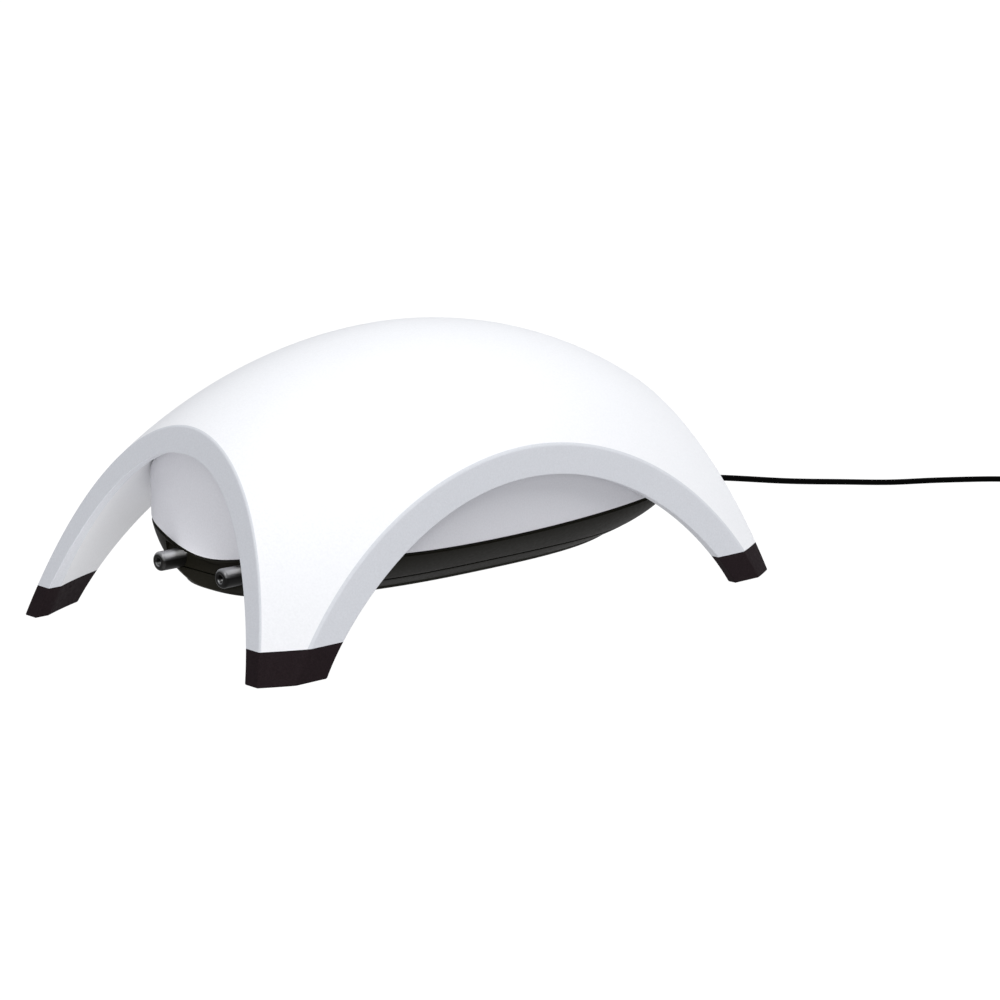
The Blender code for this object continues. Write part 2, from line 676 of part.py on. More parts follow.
# ---------------------------------------------------------------- sub frame
def make_sub_frame():
    lo, hi = (-45 * MM, -35 * MM, FRAME_Z0), (43 * MM, 35 * MM, FRAME_Z1)
    sub = box("sub_frame", lo, hi, NATURAL, bevel=0.6 * MM)
    below, above = 15 * MM, 30 * MM
    rooted = FRAME_Z0 + 0.5 * MM  # joined pieces start inside the plate
    lo = (COIL_X - 16.6 * MM, -16.4 * MM, below)
    cut(sub, box("coil_window", lo, (COIL_X + 16.6 * MM, 16.4 * MM, above)))
    for i, (_, sign) in enumerate(SIDES):
        lo, hi = (-50 * MM, sign * 9.6 * MM, below), (-37.5 * MM, sign * 16.8 * MM, above)
        cut(sub, box(f"hose_notch_{i}", lo, hi))
    lo = (42 * MM, -9.5 * MM, FRAME_Z0 + 0.1 * MM)
    join(sub, box("frame_tongue", lo, (58 * MM, 9.5 * MM, FRAME_Z1 - 0.1 * MM)))
    for i, sign_x in enumerate((-1, 1)):
        for j, sign_y in enumerate((-1, 1)):
            at = (sign_x * BOSS_X, sign_y * BOSS_Y, below)
            cut(sub, rod(f"frame_notch_{i}{j}", at, 15 * MM, 6.0 * MM, sides=16))

    for i, (_, sign) in enumerate(SIDES):
        y = sign * PIVOT_Y
        post_height = ARM_Z - 6.4 * MM - rooted
        join(sub, rod(f"pivot_post_{i}", (PIVOT_X, y, rooted), post_height, 4.6 * MM))
        cut(sub, rod(f"pin_hole_{i}", (PIVOT_X, y, 24.5 * MM), 30 * MM, 1.8 * MM, sides=14))
        lo = (COIL_X - SADDLE_HALF_X, sign * SADDLE_Y0, rooted)
        hi = (COIL_X + SADDLE_HALF_X, sign * SADDLE_Y1, ARM_Z - 6.3 * MM)
        join(sub, box(f"core_saddle_{i}", lo, hi))
        lo = (-30 * MM, sign * 8 * MM, rooted)
        hi = (-10 * MM, sign * 18 * MM, ARM_Z - 11.3 * MM)
        join(sub, box(f"valve_bed_{i}", lo, hi))
        for j, end in enumerate((-1, 1)):
            at = (COIL_X + end * CLAMP_SCREW_X, sign * CLAMP_Y, 26 * MM)
            cut(sub, rod(f"clamp_pilot_{i}{j}", at, 30 * MM, SMALL_HOLE_R, sides=10))

    join(sub, box("cable_rest", (50.6 * MM, -5 * MM, rooted), (55.6 * MM, 5 * MM, 26.5 * MM)))
    at = (CABLE_SCREW_X, CABLE_SCREW_Y, 23 * MM)
    cut(sub, rod("cable_clamp_pilot", at, 15 * MM, SMALL_HOLE_R, sides=10))


def make_isolators():
    waist_r, bore, height = 2.7 * MM, 1.0 * MM, 3.4 * MM
    profile = [
        (ISOLATOR_R, height),
        (waist_r, height / 2),
        (ISOLATOR_R, 0.0),
        (bore, 0.0),
        (bore, height),
    ]
    for corner, (sign_x, sign_y) in CORNERS.items():
        base = (sign_x * ISOLATOR_X, sign_y * ISOLATOR_Y, ISOLATOR_POST_TOP + GAP)
        turned(f"isolator_{corner}", profile, base, "+Z", RUBBER, steps=16)


# ---------------------------------------------------------------- magnet and coil
# Turned profiles: radius and height in mm
BOBBIN_PROFILE = [
    (15.5, 16.0), (15.5, 14.6), (10.4, 14.6), (10.4, -14.6),
    (15.5, -14.6), (15.5, -16.0), (4.0, -16.0), (4.0, 16.0),
]
WINDING_PROFILE = [
    (14.4, 14.2), (14.8, 13.2), (14.8, -13.2), (14.4, -14.2), (10.8, -14.2), (10.8, 14.2),
]


def make_coil():
    lo = (COIL_X - CORE_HALF, -21 * MM, ARM_Z - CORE_HALF)
    hi = (COIL_X + CORE_HALF, 21 * MM, ARM_Z + CORE_HALF)
    box("core_laminations", lo, hi, IRON, bevel=0.4 * MM)
    centre = (COIL_X, 0, ARM_Z)
    bobbin = turned("coil_bobbin", metres(BOBBIN_PROFILE), centre, "+Y", NATURAL)
    window = 6.4 * MM
    lo = (COIL_X - window, -30 * MM, ARM_Z - window)
    cut(bobbin, box("bobbin_window", lo, (COIL_X + window, 30 * MM, ARM_Z + window)))
    turned("coil_winding", metres(WINDING_PROFILE), centre, "+Y", COPPER)


def make_core_clamp(side, sign):
    """The strap over the core, and its two screws."""
    y = sign * CLAMP_Y
    window = 6.3 * MM
    top = ARM_Z + window
    lo = (COIL_X - SADDLE_HALF_X, y - 1.8 * MM, ARM_Z - 6.0 * MM)
    hi = (COIL_X + SADDLE_HALF_X, y + 1.8 * MM, top + 1.6 * MM)
    clamp = box(f"core_clamp_{side}", lo, hi, STEEL, bevel=0.3 * MM)
    lo = (COIL_X - window, y - 4 * MM, ARM_Z - 12 * MM)
    cut(clamp, box(f"clamp_window_{side}", lo, (COIL_X + window, y + 4 * MM, top)))
    for end, end_sign in (("front", -1), ("rear", 1)):
        x = COIL_X + end_sign * CLAMP_SCREW_X
        hole = f"clamp_hole_{side}_{end}"
        cut(clamp, rod(hole, (x, y, 20 * MM), 40 * MM, SMALL_HOLE_R, sides=10))
        screw(
            f"clamp_screw_{side}_{end}",
            (x, y, top + 3.1 * MM),
            "-Z",
            head_radius=1.4 * MM,
            head_height=1.2 * MM,
            shank_radius=SMALL_SHANK_R,
            length=17 * MM,
        )


# ---------------------------------------------------------------- swing arms
# Turned profiles: radius and height in mm
BUSH_PROFILE = [(2.8, 6.0), (2.8, -6.0), (1.75, -6.0), (1.75, 6.0)]
DIAPHRAGM_PROFILE = [
    (3.0, 0.0), (6.0, -0.2), (8.4, -1.6), (8.0, -2.6), (9.6, -3.4), (11.0, -3.8),
    (11.0, -4.9), (8.6, -4.9), (6.9, -2.4), (5.2, -1.4), (0.9, -1.3), (0.9, 0.0),
]


def make_swing_arm(side, sign):
    """The arm and its magnet; both have their origin on the pivot."""
    pivot = (PIVOT_X, sign * PIVOT_Y, ARM_Z)
    inward = "-Y" if sign > 0 else "+Y"
    lo = (PIVOT_X + 1 * MM, sign * 29.2 * MM, ARM_Z - 5 * MM)
    hi = (34 * MM, sign * 32.2 * MM, ARM_Z + 5 * MM)
    arm = box(f"swing_arm_{side}", lo, hi, NATURAL, bevel=0.5 * MM, origin=pivot)
    eye = (*pivot[:2], ARM_Z - 6.0 * MM)
    stud = (BELLOWS_X, sign * 31.5 * MM, ARM_Z)
    holder = 7.6 * MM
    lo = (COIL_X - holder, sign * 28.4 * MM, ARM_Z - holder)
    hi = (COIL_X + holder, sign * 31 * MM, ARM_Z + holder)
    join(
        arm,
        rod(f"arm_eye_{side}", eye, 12.0 * MM, 4.6 * MM),
        rod(f"arm_stud_{side}", stud, 4.6 * MM, 3.2 * MM, inward, sides=16),
        box(f"arm_holder_{side}", lo, hi),
    )
    bore = (*pivot[:2], ARM_Z - 15 * MM)
    cut(arm, rod(f"arm_eye_bore_{side}", bore, 30 * MM, 3.1 * MM))

    lo = (COIL_X - CORE_HALF, sign * 24.1 * MM, ARM_Z - CORE_HALF)
    hi = (COIL_X + CORE_HALF, sign * 28.1 * MM, ARM_Z + CORE_HALF)
    box(f"arm_magnet_{side}", lo, hi, MAGNET, bevel=0.4 * MM, origin=pivot)


def make_pivot(side, sign):
    """The rubber bush in the arm's eye and the pin through it."""
    x, y = PIVOT_X, sign * PIVOT_Y
    turned(f"arm_bush_{side}", metres(BUSH_PROFILE), (x, y, ARM_Z), "+Z", RUBBER, steps=14)
    head_r, head_low, head_top = 2.6 * MM, ARM_Z + 6.3 * MM, ARM_Z + 7.7 * MM
    pin_foot = 25.0 * MM
    profile = [
        (0, head_top),
        (2.0 * MM, head_top),
        (head_r, ARM_Z + 7.1 * MM),
        (head_r, head_low),
        (SCREW_SHANK_R, head_low),
        (SCREW_SHANK_R, pin_foot),
        (0, pin_foot),
    ]
    turned(f"pivot_pin_{side}", profile, (x, y, 0), "+Z", STEEL, steps=14)


def make_diaphragm(side, sign):
    """Rubber bellows: a cup between the arm's stud and the valve plate."""
    base = (BELLOWS_X, sign * 26.6 * MM, ARM_Z)
    outward = "+Y" if sign > 0 else "-Y"
    turned(f"diaphragm_{side}", metres(DIAPHRAGM_PROFILE), base, outward, RUBBER, steps=16)


# ---------------------------------------------------------------- valves
def make_valve_box(side, sign):
    lo = (BELLOWS_X - 12.5 * MM, sign * 6 * MM, ARM_Z - 11 * MM)
    hi = (BELLOWS_X + 12.5 * MM, sign * VALVE_BOX_OUTER_Y, ARM_Z + 11 * MM)
    body = box(f"valve_box_{side}", lo, hi, NATURAL, bevel=0.8 * MM)
    for tag, end in (("in", 1), ("out", -1)):
        lo = (BELLOWS_X + end * 0.8 * MM, sign * 7.8 * MM, ARM_Z - 9.4 * MM)
        hi = (BELLOWS_X + end * 11 * MM, sign * 30 * MM, ARM_Z + 9.4 * MM)
        cut(body, box(f"chamber_{tag}_{side}", lo, hi))
    y = sign * NOZZLE_Y
    spigot = (BELLOWS_X - 11.6 * MM, y, SPIGOT_Z)
    join(body, rod(f"spigot_{side}", spigot, 5.0 * MM, 2.0 * MM, "-X", sides=16))
    bore = (BELLOWS_X - 8 * MM, y, SPIGOT_Z)
    cut(body, rod(f"spigot_bore_{side}", bore, 14 * MM, 1.1 * MM, "-X", sides=12))
    port = (BELLOWS_X + 6 * MM, sign * 12 * MM, ARM_Z - 13 * MM)
    cut(body, rod(f"intake_port_{side}", port, 6 * MM, 1.5 * MM, sides=12))


def make_valve_plate(side, sign):
    lo = (BELLOWS_X - 12.2 * MM, sign * (VALVE_BOX_OUTER_Y + GAP), ARM_Z - 10.8 * MM)
    hi = (BELLOWS_X + 12.2 * MM, sign * 20.4 * MM, ARM_Z + 10.8 * MM)
    plate = box(f"valve_plate_{side}", lo, hi, GREY, bevel=0.4 * MM)
    outward = "+Y" if sign > 0 else "-Y"
    for tag, x in (("in", INLET_X), ("out", OUTLET_X)):
        at = (x, sign * 10 * MM, ARM_Z)
        cut(plate, rod(f"port_{tag}_{side}", at, 20 * MM, 1.6 * MM, outward, sides=14))


def make_flaps(side, sign):
    """Inlet flap on the bellows side of the plate, outlet flap inside the box."""
    half = 2.3 * MM
    flaps = (("inlet", INLET_X, 20.7 * MM, 21.3 * MM), ("outlet", OUTLET_X, 17.3 * MM, 17.9 * MM))
    for tag, x, y0, y1 in flaps:
        hinge = x + 2.9 * MM
        box(
            f"{tag}_flap_{side}",
            (x - half, sign * y0, ARM_Z - half),
            (hinge + 0.3 * MM, sign * y1, ARM_Z + half),
            RUBBER,
            bevel=0.12 * MM,
            origin=(hinge, sign * (y0 + y1) / 2, ARM_Z),
        )


def make_hose(side, sign):
    """The hose from the valve box's spigot to the nozzle: a Bezier bend, straight at both ends."""
    y = sign * NOZZLE_Y
    start = Vector((BELLOWS_X - 13.2 * MM, y, SPIGOT_Z))
    stop = Vector((-62.1 * MM, y, NOZZLE_Z))
    along = Vector((4.4 * MM, 0, 0))
    bend = [start - along, start - 3 * along, stop + 3 * along, stop + along]
    middle = []
    for i in range(7):
        t = i / 6
        weights = ((1 - t) ** 3, 3 * (1 - t) ** 2 * t, 3 * (1 - t) * t * t, t**3)
        middle.append(sum((w * knot for w, knot in zip(weights, bend)), Vector()))
    hose = tube(f"outlet_hose_{side}", [start, *middle, stop], 3.1 * MM, SILICONE)
    # The bore runs on past both ends
    bore_start = (start.x + 2 * MM, start.y, start.z)
    bore_stop = (stop.x - 2 * MM, stop.y, stop.z)
    cut(hose, tube(f"hose_bore_{side}", [bore_start, *middle, bore_stop], 2.3 * MM))


# ---------------------------------------------------------------- cable
# x, y and z in mm, from inside the case outwards
CABLE_PATH = [
    (49.8, 0, 27.9), (53.8, 0, 27.9), (57.2, 0, 27.2), (59.6, 0, 24.6),
    (60.4, 0, 21.4), (62.2, 0, 19.5), (66, 0, 19.4), (80, 0, 19.4),
    (100, 0, 18.2), (126, 0, 14.3), (155, 0, 9.2), (180, 0, 5.4),
    (203, -0.6, 2.1), (220, -5.0, 1.0), (233, -14.0, 0.95), (240, -20.6, 0.95),
]
# x, distance from the middle plane and z in mm, from the cable to the coil
LEAD_KNOTS = [(49.3, 0.9, 28.0), (46.0, 2.5, 28.5), (43.2, 5.5, 29.6), (40.6, 8.0, 31.0)]
# Turned profile: radius and height in mm
STRAIN_RELIEF_PROFILE = [
    (1.35, 4.6), (2.0, 4.6), (2.7, 1.0), (2.7, -6.0),
    (4.4, -6.0), (4.4, -7.6), (1.35, -7.6),
]


def smooth_path(knots, per_span):
    """Points of a Catmull-Rom curve through the knots."""
    knots = [Vector(knot) for knot in knots]
    knots = [2 * knots[0] - knots[1]] + knots + [2 * knots[-1] - knots[-2]]
    path = []
    for i in range(1, len(knots) - 2):
        a, b, c, d = knots[i - 1 : i + 3]
        for j in range(per_span):
            t = j / per_span
            square = (2 * a - 5 * b + 4 * c - d) * t * t
            cube = (3 * b - a - 3 * c + d) * t**3
            path.append(0.5 * (2 * b + (c - a) * t + square + cube))
    path.append(knots[-2])
    return path


def make_cable():
    tube("power_cable", metres(CABLE_PATH), CABLE_R, CABLE)
    base = (70.2 * MM, 0, CABLE_Z)
    turned("strain_relief", metres(STRAIN_RELIEF_PROFILE), base, "+X", RUBBER)


def make_cable_clamp():
    lo, hi = metres([(51.0, -4.8, 26.8), (56.6, 4.8, 30.6)])
    clamp = box("cable_clamp", lo, hi, NATURAL, bevel=0.4 * MM)
    channel = (40 * MM, 0, 27.4 * MM)
    cut(clamp, rod("clamp_channel", channel, 30 * MM, 1.9 * MM, "+X", sides=16))
    at = (CABLE_SCREW_X, CABLE_SCREW_Y, 20 * MM)
    cut(clamp, rod("cable_clamp_hole", at, 20 * MM, SMALL_HOLE_R, sides=10))
    screw(
        "cable_clamp_screw",
        (CABLE_SCREW_X, CABLE_SCREW_Y, 32.2 * MM),
        "-Z",
        head_radius=1.3 * MM,
        head_height=1.2 * MM,
        shank_radius=SMALL_SHANK_R,
        length=8 * MM,
    )


def make_coil_lead(side, sign):
    knots = metres([(x, sign * y, z) for x, y, z in LEAD_KNOTS])
    tube(f"coil_lead_{side}", smooth_path(knots, 2), 0.5 * MM, LEAD, resolution=1)


# ---------------------------------------------------------------- assembly
arches = (
    prism("end_arch", arch_outline(END_ARCH), -130 * MM, 260 * MM, "YZ"),
    prism("side_arch", arch_outline(SIDE_ARCH), -80 * MM, 160 * MM, "XZ"),
)
hang_holes = hang_rods("hang_hole", 48 * MM, 13.3 * MM, SCREW_HOLE_R, sides=12)
make_dome(arches, hang_holes)
make_feet(arches)
make_housing(hang_holes)
recess = front_recess()
make_tray(recess)
make_cover(recess)
make_filter()
make_gasket()
make_case_screws()
make_sub_frame()
make_isolators()
make_coil()
make_cable()
make_cable_clamp()
for side, sign in SIDES:
    make_nozzle(side, sign)
    make_core_clamp(side, sign)
    make_swing_arm(side, sign)
    make_pivot(side, sign)
    make_diaphragm(side, sign)
    make_valve_box(side, sign)
    make_valve_plate(side, sign)
    make_flaps(side, sign)
    make_hose(side, sign)
    make_coil_lead(side, sign)
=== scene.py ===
"""Looks of a twin-outlet air pump: visible shells, materials, light and camera.

The pump stands on four feet with +Z up. The front with its two outlets faces -X, left is
-Y, and the power cable leaves at the rear, +X. Shapes are in millimetres above the ground
and become metres in the CAD frame when meshed; the stage is laid out in metres.
"""

import json
import math
from typing import NamedTuple

import bmesh
import bpy
import numpy as np
from mathutils import Matrix, Vector

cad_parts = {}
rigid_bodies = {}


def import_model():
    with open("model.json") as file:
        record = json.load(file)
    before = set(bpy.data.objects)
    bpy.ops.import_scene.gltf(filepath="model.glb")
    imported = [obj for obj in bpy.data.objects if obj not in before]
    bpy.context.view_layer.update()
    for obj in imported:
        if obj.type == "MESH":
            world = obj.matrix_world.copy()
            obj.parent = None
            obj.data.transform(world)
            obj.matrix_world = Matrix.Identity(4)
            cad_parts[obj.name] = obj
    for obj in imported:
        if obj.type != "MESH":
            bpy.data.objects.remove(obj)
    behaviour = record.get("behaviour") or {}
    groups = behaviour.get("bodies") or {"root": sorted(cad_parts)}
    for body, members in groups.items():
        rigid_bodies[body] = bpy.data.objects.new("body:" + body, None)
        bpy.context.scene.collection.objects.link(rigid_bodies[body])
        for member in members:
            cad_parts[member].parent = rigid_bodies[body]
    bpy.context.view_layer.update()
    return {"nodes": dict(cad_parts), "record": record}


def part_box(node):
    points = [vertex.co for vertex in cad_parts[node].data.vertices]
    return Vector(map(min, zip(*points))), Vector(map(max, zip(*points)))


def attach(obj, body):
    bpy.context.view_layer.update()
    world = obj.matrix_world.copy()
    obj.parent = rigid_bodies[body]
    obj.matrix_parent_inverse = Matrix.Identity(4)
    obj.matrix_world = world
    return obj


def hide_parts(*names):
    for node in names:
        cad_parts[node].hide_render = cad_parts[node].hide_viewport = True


for leftover in list(bpy.data.objects):
    bpy.data.objects.remove(leftover, do_unlink=True)

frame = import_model()
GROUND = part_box("foot_front_left")[0].z  # metres: the plane the feet stand on
MM = 0.001
ROOT = "pump_body"
scene = bpy.context.scene


# ------------------------------------------------------------------ dimensions
class Arch(NamedTuple):
    """An opening with a superelliptic outline."""
    half: float  # half width at base_z
    height: float
    base_z: float
    across_power: float
    up_power: float


# Signs of x and y at each corner
CORNERS = {
    "front_left": (-1, -1), "front_right": (-1, 1), "rear_left": (1, -1), "rear_right": (1, 1),
}

# Dome skin, a superellipsoid: half axes, centre height and powers
DOME_X, DOME_Y, DOME_Z = 155.6, 87.5, 250.2
DOME_CENTRE_Z = -174.9
POWER_X, POWER_Y, POWER_Z = 1.933, 1.961, 3.297
WALL = 6.0
# Flat faces that cut the dome off at its ends and sides
END_X, SIDE_Y = 92.0, 54.4  # at the ground
END_LEAN, SIDE_LEAN = math.tan(math.radians(18.1)), math.tan(math.radians(6.4))
END_ARCH = Arch(45.8, 53.2, -4.2, 2.128, 1.2385)
SIDE_ARCH = Arch(74.7, 42.0, -2.2, 2.029, 1.2)
SKIN_EDGE, ARCH_EDGE = 0.34, 0.28  # how far the rounded edges reach along each face
SKIN_BACK = SKIN_EDGE * 1.25  # how far behind the flat face the rounding meets the skin
JOINT = 0.02  # half of the closed joint between dome and foot
ARCH_STEPS, ACROSS_STEPS, RIM_STEPS, ROUND_STEPS = 110, 56, 6, 4  # dome mesh

FOOT_H = 8.2
FOOT_RIM_STEPS, FOOT_SKIN_STEPS = 4, 10
SOLE_ROUND = 0.45
PEG_X, PEG_Y = 79.8, 47.3  # pegs that hold the feet in the dome

# Pump body: its widest outline, the seam under the housing, the parting line and the keel
POD_X, POD_Y, POD_POWER, POD_BOW = 70.0, 45.5, 6.0, 0.174
POD_SIDES = 240
SEAM_Z, SEAM_DIP, SEAM_DIP_WIDTH, SEAM_RISE, SEAM_TILT = 23.83, 6.21, 24.7, 3.05, 0.89
PARTING_Z = 16.1
GAP = 0.15  # half of each gap between the body's parts
KEEL_Z, KEEL_X, KEEL_Y, KEEL_POWER = 11.5, 68.1, 30.6, 2.1
FULLNESS = 1.32  # how soon the hull widens above the keel
# (inset, distance from the edge) down the rounded edge at the parting line
PARTING_ROUND = ((0.34, 0.0), (0.1, 0.1), (0.0, 0.34))
PARTING_REACH = PARTING_ROUND[-1][1]

ROOF_DEPTH = WALL + 0.4  # housing roof below the dome's skin
HOUSING_WALL = 2.2
# Shares of the outline at which the roof has a ring, from the edge to the crown
ROOF_SHARES = (0.994, 0.97, 0.93, 0.86, 0.76, 0.64, 0.5, 0.36, 0.22, 0.1)

CASE_SCREW_X, CASE_SCREW_Y = 48, 20
HOUSING_SCREW_X = 58
SCREW_HOLE = 1.8  # radius
SHANK = 1.45  # radius

OUTLET_Y, OUTLET_Z, OUTLET_RADIUS, OUTLET_BORE = 13.2, 18.2, 2.6, 0.95
OUTLET_HOLE = 2.7
OUTLET_TIP = 74.7  # distance in front of the origin
RECESS_X, RECESS_DRAFT = -66.9, 0.19  # back face at z = 20, and its lean
RECESS_LOW, RECESS_FRONT = 12.0, -82.0
# (y, z) along the top edge of the recess, from the middle to the right
RECESS_TOP = [
    (0.0, 20.2), (3.0, 20.27), (6.0, 20.5), (9.0, 20.86),
    (12.0, 21.25), (15.5, 21.65), (19.0, 21.95),
]

CABLE_RADIUS, CABLE_Z = 0.9, 19.4  # height where the cable leaves the body
# (x, y, z) along the cable, from inside the body to its free end
CABLE_KNOTS = [
    (49.8, 0, 27.9), (53.8, 0, 27.9), (57.2, 0, 27.2), (59.6, 0, 24.6),
    (60.4, 0, 21.4), (62.2, 0, 19.5), (66, 0, CABLE_Z), (80, 0, CABLE_Z),
    (100, 0, 18.2), (126, 0, 14.3), (155, 0, 9.2), (180, 0, 5.4),
    (203, -0.6, 2.1), (220, -5.0, 1.0), (233, -14.0, 0.95), (240, -20.6, 0.95),
]
KNOT_STEPS = 10


# ------------------------------------------------------------------ dome shape
def dome_left_over(x, y):
    return np.maximum(1 - np.abs(x / DOME_X) ** POWER_X - np.abs(y / DOME_Y) ** POWER_Y, 0.01)


def dome_z(x, y):
    return DOME_CENTRE_Z + DOME_Z * dome_left_over(x, y) ** (1 / POWER_Z)


def skin_x(y, z):
    rest = 1 - (y / DOME_Y) ** POWER_Y - ((z - DOME_CENTRE_Z) / DOME_Z) ** POWER_Z
    return DOME_X * np.maximum(rest, 0) ** (1 / POWER_X)


def skin_y(x, z):
    rest = 1 - (x / DOME_X) ** POWER_X - ((z - DOME_CENTRE_Z) / DOME_Z) ** POWER_Z
    return DOME_Y * np.maximum(rest, 0) ** (1 / POWER_Y)


def dome_normal(x, y):
    """Outward unit normal of the dome, for x and y not negative."""
    steep = DOME_Z / POWER_Z * dome_left_over(x, y) ** (1 / POWER_Z - 1)
    slope_x = steep * POWER_X / DOME_X * np.maximum(x / DOME_X, 1e-9) ** (POWER_X - 1)
    slope_y = steep * POWER_Y / DOME_Y * np.maximum(y / DOME_Y, 1e-9) ** (POWER_Y - 1)
    scale = 1 / np.sqrt(slope_x * slope_x + slope_y * slope_y + 1)
    return slope_x * scale, slope_y * scale, scale


def under_skin(u, v):
    """Point on the inner skin, one wall thickness below the skin over (u, v)."""
    nx, ny, nz = dome_normal(u, v)
    return u - WALL * nx, v - WALL * ny, dome_z(u, v) - WALL * nz


def depth_z(x, y, depth):
    """Height of the surface this deep under the dome's skin, over (x, y)."""
    x, y = np.abs(x), np.abs(y)
    u, v = x, y
    for _ in range(60):
        nx, ny, nz = dome_normal(u, v)
        u, v = x + depth * nx, y + depth * ny
    nx, ny, nz = dome_normal(u, v)
    return dome_z(u, v) - depth * nz


def depth_z_at(x, y, depth):
    """The same for a single place."""
    return float(depth_z(np.array([float(x)]), np.array([float(y)]), depth)[0])


def end_x(z, back=0.0):
    return END_X - back - z * END_LEAN


def side_y(z, back=0.0):
    return SIDE_Y - back - z * SIDE_LEAN


def arch_half(arch, z):
    share = 1 - ((z - arch.base_z) / arch.height) ** arch.up_power
    return arch.half * share ** (1 / arch.across_power)


# ------------------------------------------------------------------ curve tools
def between(start, stop, t):
    return start * (1 - t) + stop * t


def steps_between(start, stop, steps, first=1):
    return [between(start, stop, i / steps) for i in range(first, steps + 1)]


def blend_rows(start, stop, steps):
    """Rows between two curves, without the curves themselves."""
    return [between(start, stop, t) for t in np.linspace(0, 1, steps + 1)[1:-1]]


def rounded(start, corner, stop):
    """Rows that round a corner, from start on one face to stop on the other."""
    return [
        (1 - t) ** 2 * start + 2 * t * (1 - t) * corner + t * t * stop
        for t in (i / ROUND_STEPS for i in range(ROUND_STEPS + 1))
    ]


def unit(v):
    return v / np.linalg.norm(v, axis=-1, keepdims=True)


def resample(points, count):
    """The polyline at count + 1 places of equal arc length."""
    run = np.concatenate([[0], np.cumsum(np.linalg.norm(np.diff(points, axis=0), axis=1))])
    at = np.linspace(0, run[-1], count + 1)
    return np.stack([np.interp(at, run, column) for column in points.T], 1)


def bisect(rising, low, high):
    """Root of a rising function between the arrays low and high."""
    for _ in range(60):
        middle = (low + high) / 2
        below = rising(middle) < 0
        low, high = np.where(below, middle, low), np.where(below, high, middle)
    return (low + high) / 2


def end_rim(z_end, back=0.0):
    """Dome skin on the leaning end plane, from the mirror plane down to z_end."""
    y = skin_y(end_x(z_end, back), z_end) * np.sin(np.linspace(0, math.pi / 2, 1500))
    low, high = np.full_like(y, 40), np.full_like(y, 110)
    x = bisect(lambda t: t - end_x(dome_z(t, y), back), low, high)
    return resample(np.stack([x, y, dome_z(x, y)], 1), ARCH_STEPS)


def side_rim(z_end, back=0.0):
    """The same on the leaning side plane."""
    x = skin_x(side_y(z_end, back), z_end) * np.sin(np.linspace(0, math.pi / 2, 1500))
    low, high = np.full_like(x, 20), np.full_like(x, 62)
    y = bisect(lambda t: t - side_y(dome_z(x, t), back), low, high)
    return resample(np.stack([x, y, dome_z(x, y)], 1), ARCH_STEPS)


def arch_curve(arch, z_end):
    """(half width, height) along an arch from its crown down to z_end."""
    t_end = math.asin(((z_end - arch.base_z) / arch.height) ** (arch.up_power / 2))
    t = np.linspace(math.pi / 2, t_end, 3000)
    across = arch.half * np.maximum(np.cos(t), 0) ** (2 / arch.across_power)
    z = arch.base_z + arch.height * np.sin(t) ** (2 / arch.up_power)
    return resample(np.stack([across, z], 1), ARCH_STEPS)


def solve_under(axis, wanted, guess):
    """(u, v) whose inner-skin point has the wanted coordinate on an axis and height."""
    uv = np.array(guess, float)
    nudge = 1e-4
    for _ in range(40):
        here = np.array(under_skin(*uv))[[axis, 2]]
        miss = here - wanted
        if np.abs(miss).max() < 1e-9:
            break
        along_u = np.array(under_skin(uv[0] + nudge, uv[1]))[[axis, 2]]
        along_v = np.array(under_skin(uv[0], uv[1] + nudge))[[axis, 2]]
        slopes = np.stack([(along_u - here) / nudge, (along_v - here) / nudge], 1)
        uv = np.maximum(uv - np.clip(np.linalg.solve(slopes, miss), -3, 3), 0)
    return uv


def arch_under(arch_points, axis, guess):
    """Where the arch's wall meets the inner skin, as (u, v) and as points."""
    uvs = []
    for point in arch_points:
        guess = solve_under(axis, point, guess)
        uvs.append(guess)
    points = np.array([under_skin(*uv) for uv in uvs])
    points[:, [axis, 2]] = arch_points
    return np.array(uvs), points


def level_outer(z, start, stop, count):
    """Dome skin at height z between two plan points."""
    x = np.linspace(start[0], stop[0], count + 1)
    y = skin_y(x, z)
    y[0], y[-1] = start[1], stop[1]
    return np.stack([x, y], 1)


def level_inner(z, start, stop, count):
    """(u, v) of the inner skin at height z between two (u, v)."""
    found = []
    nudge = 1e-4
    for i in range(count + 1):
        u, v = start + (stop - start) * i / count
        if 0 < i < count:
            for _ in range(30):
                here = under_skin(u, v)[2]
                slope = (under_skin(u, v + nudge)[2] - here) / nudge
                v -= (here - z) / slope
        found.append((u, v))
    return np.array(found)


def rim_rows(skin_back, skin, arch, under, face_steps):
    """From the skin over its rounded edge, the flat face and the arch's wall to the inside."""
    across, along = unit(arch - skin), unit(under - arch)
    face_start, face_stop = skin + SKIN_EDGE * across, arch - ARCH_EDGE * across
    wall_start = arch + ARCH_EDGE * along
    return (
        rounded(skin_back, skin, face_start)
        + blend_rows(face_start, face_stop, face_steps)
        + rounded(face_stop, arch, wall_start)
        + blend_rows(wall_start, under, 3)
        + [under]
    )


def coons_patch(first, last, start, stop):
    """A patch with first and last as opposite sides, start and stop joining their ends."""
    t = np.linspace(0, 1, len(first))[:, None, None]
    s = np.linspace(0, 1, len(start))[None, :, None]
    corners = (
        (1 - t) * (1 - s) * start[0] + (1 - t) * s * start[-1]
        + t * (1 - s) * stop[0] + t * s * stop[-1]
    )
    across = (1 - s) * first[:, None] + s * last[:, None]
    return across + (1 - t) * start[None] + t * stop[None] - corners


def elbow(x, y):
    """Plan points from (x, 0) to the centre, then out to (0, y)."""
    half = ACROSS_STEPS // 2
    inwards = [(x * (1 - i / half), 0.0) for i in range(half)]
    outwards = [(0.0, y * (i / half)) for i in range(half + 1)]
    return np.array(inwards + outwards)


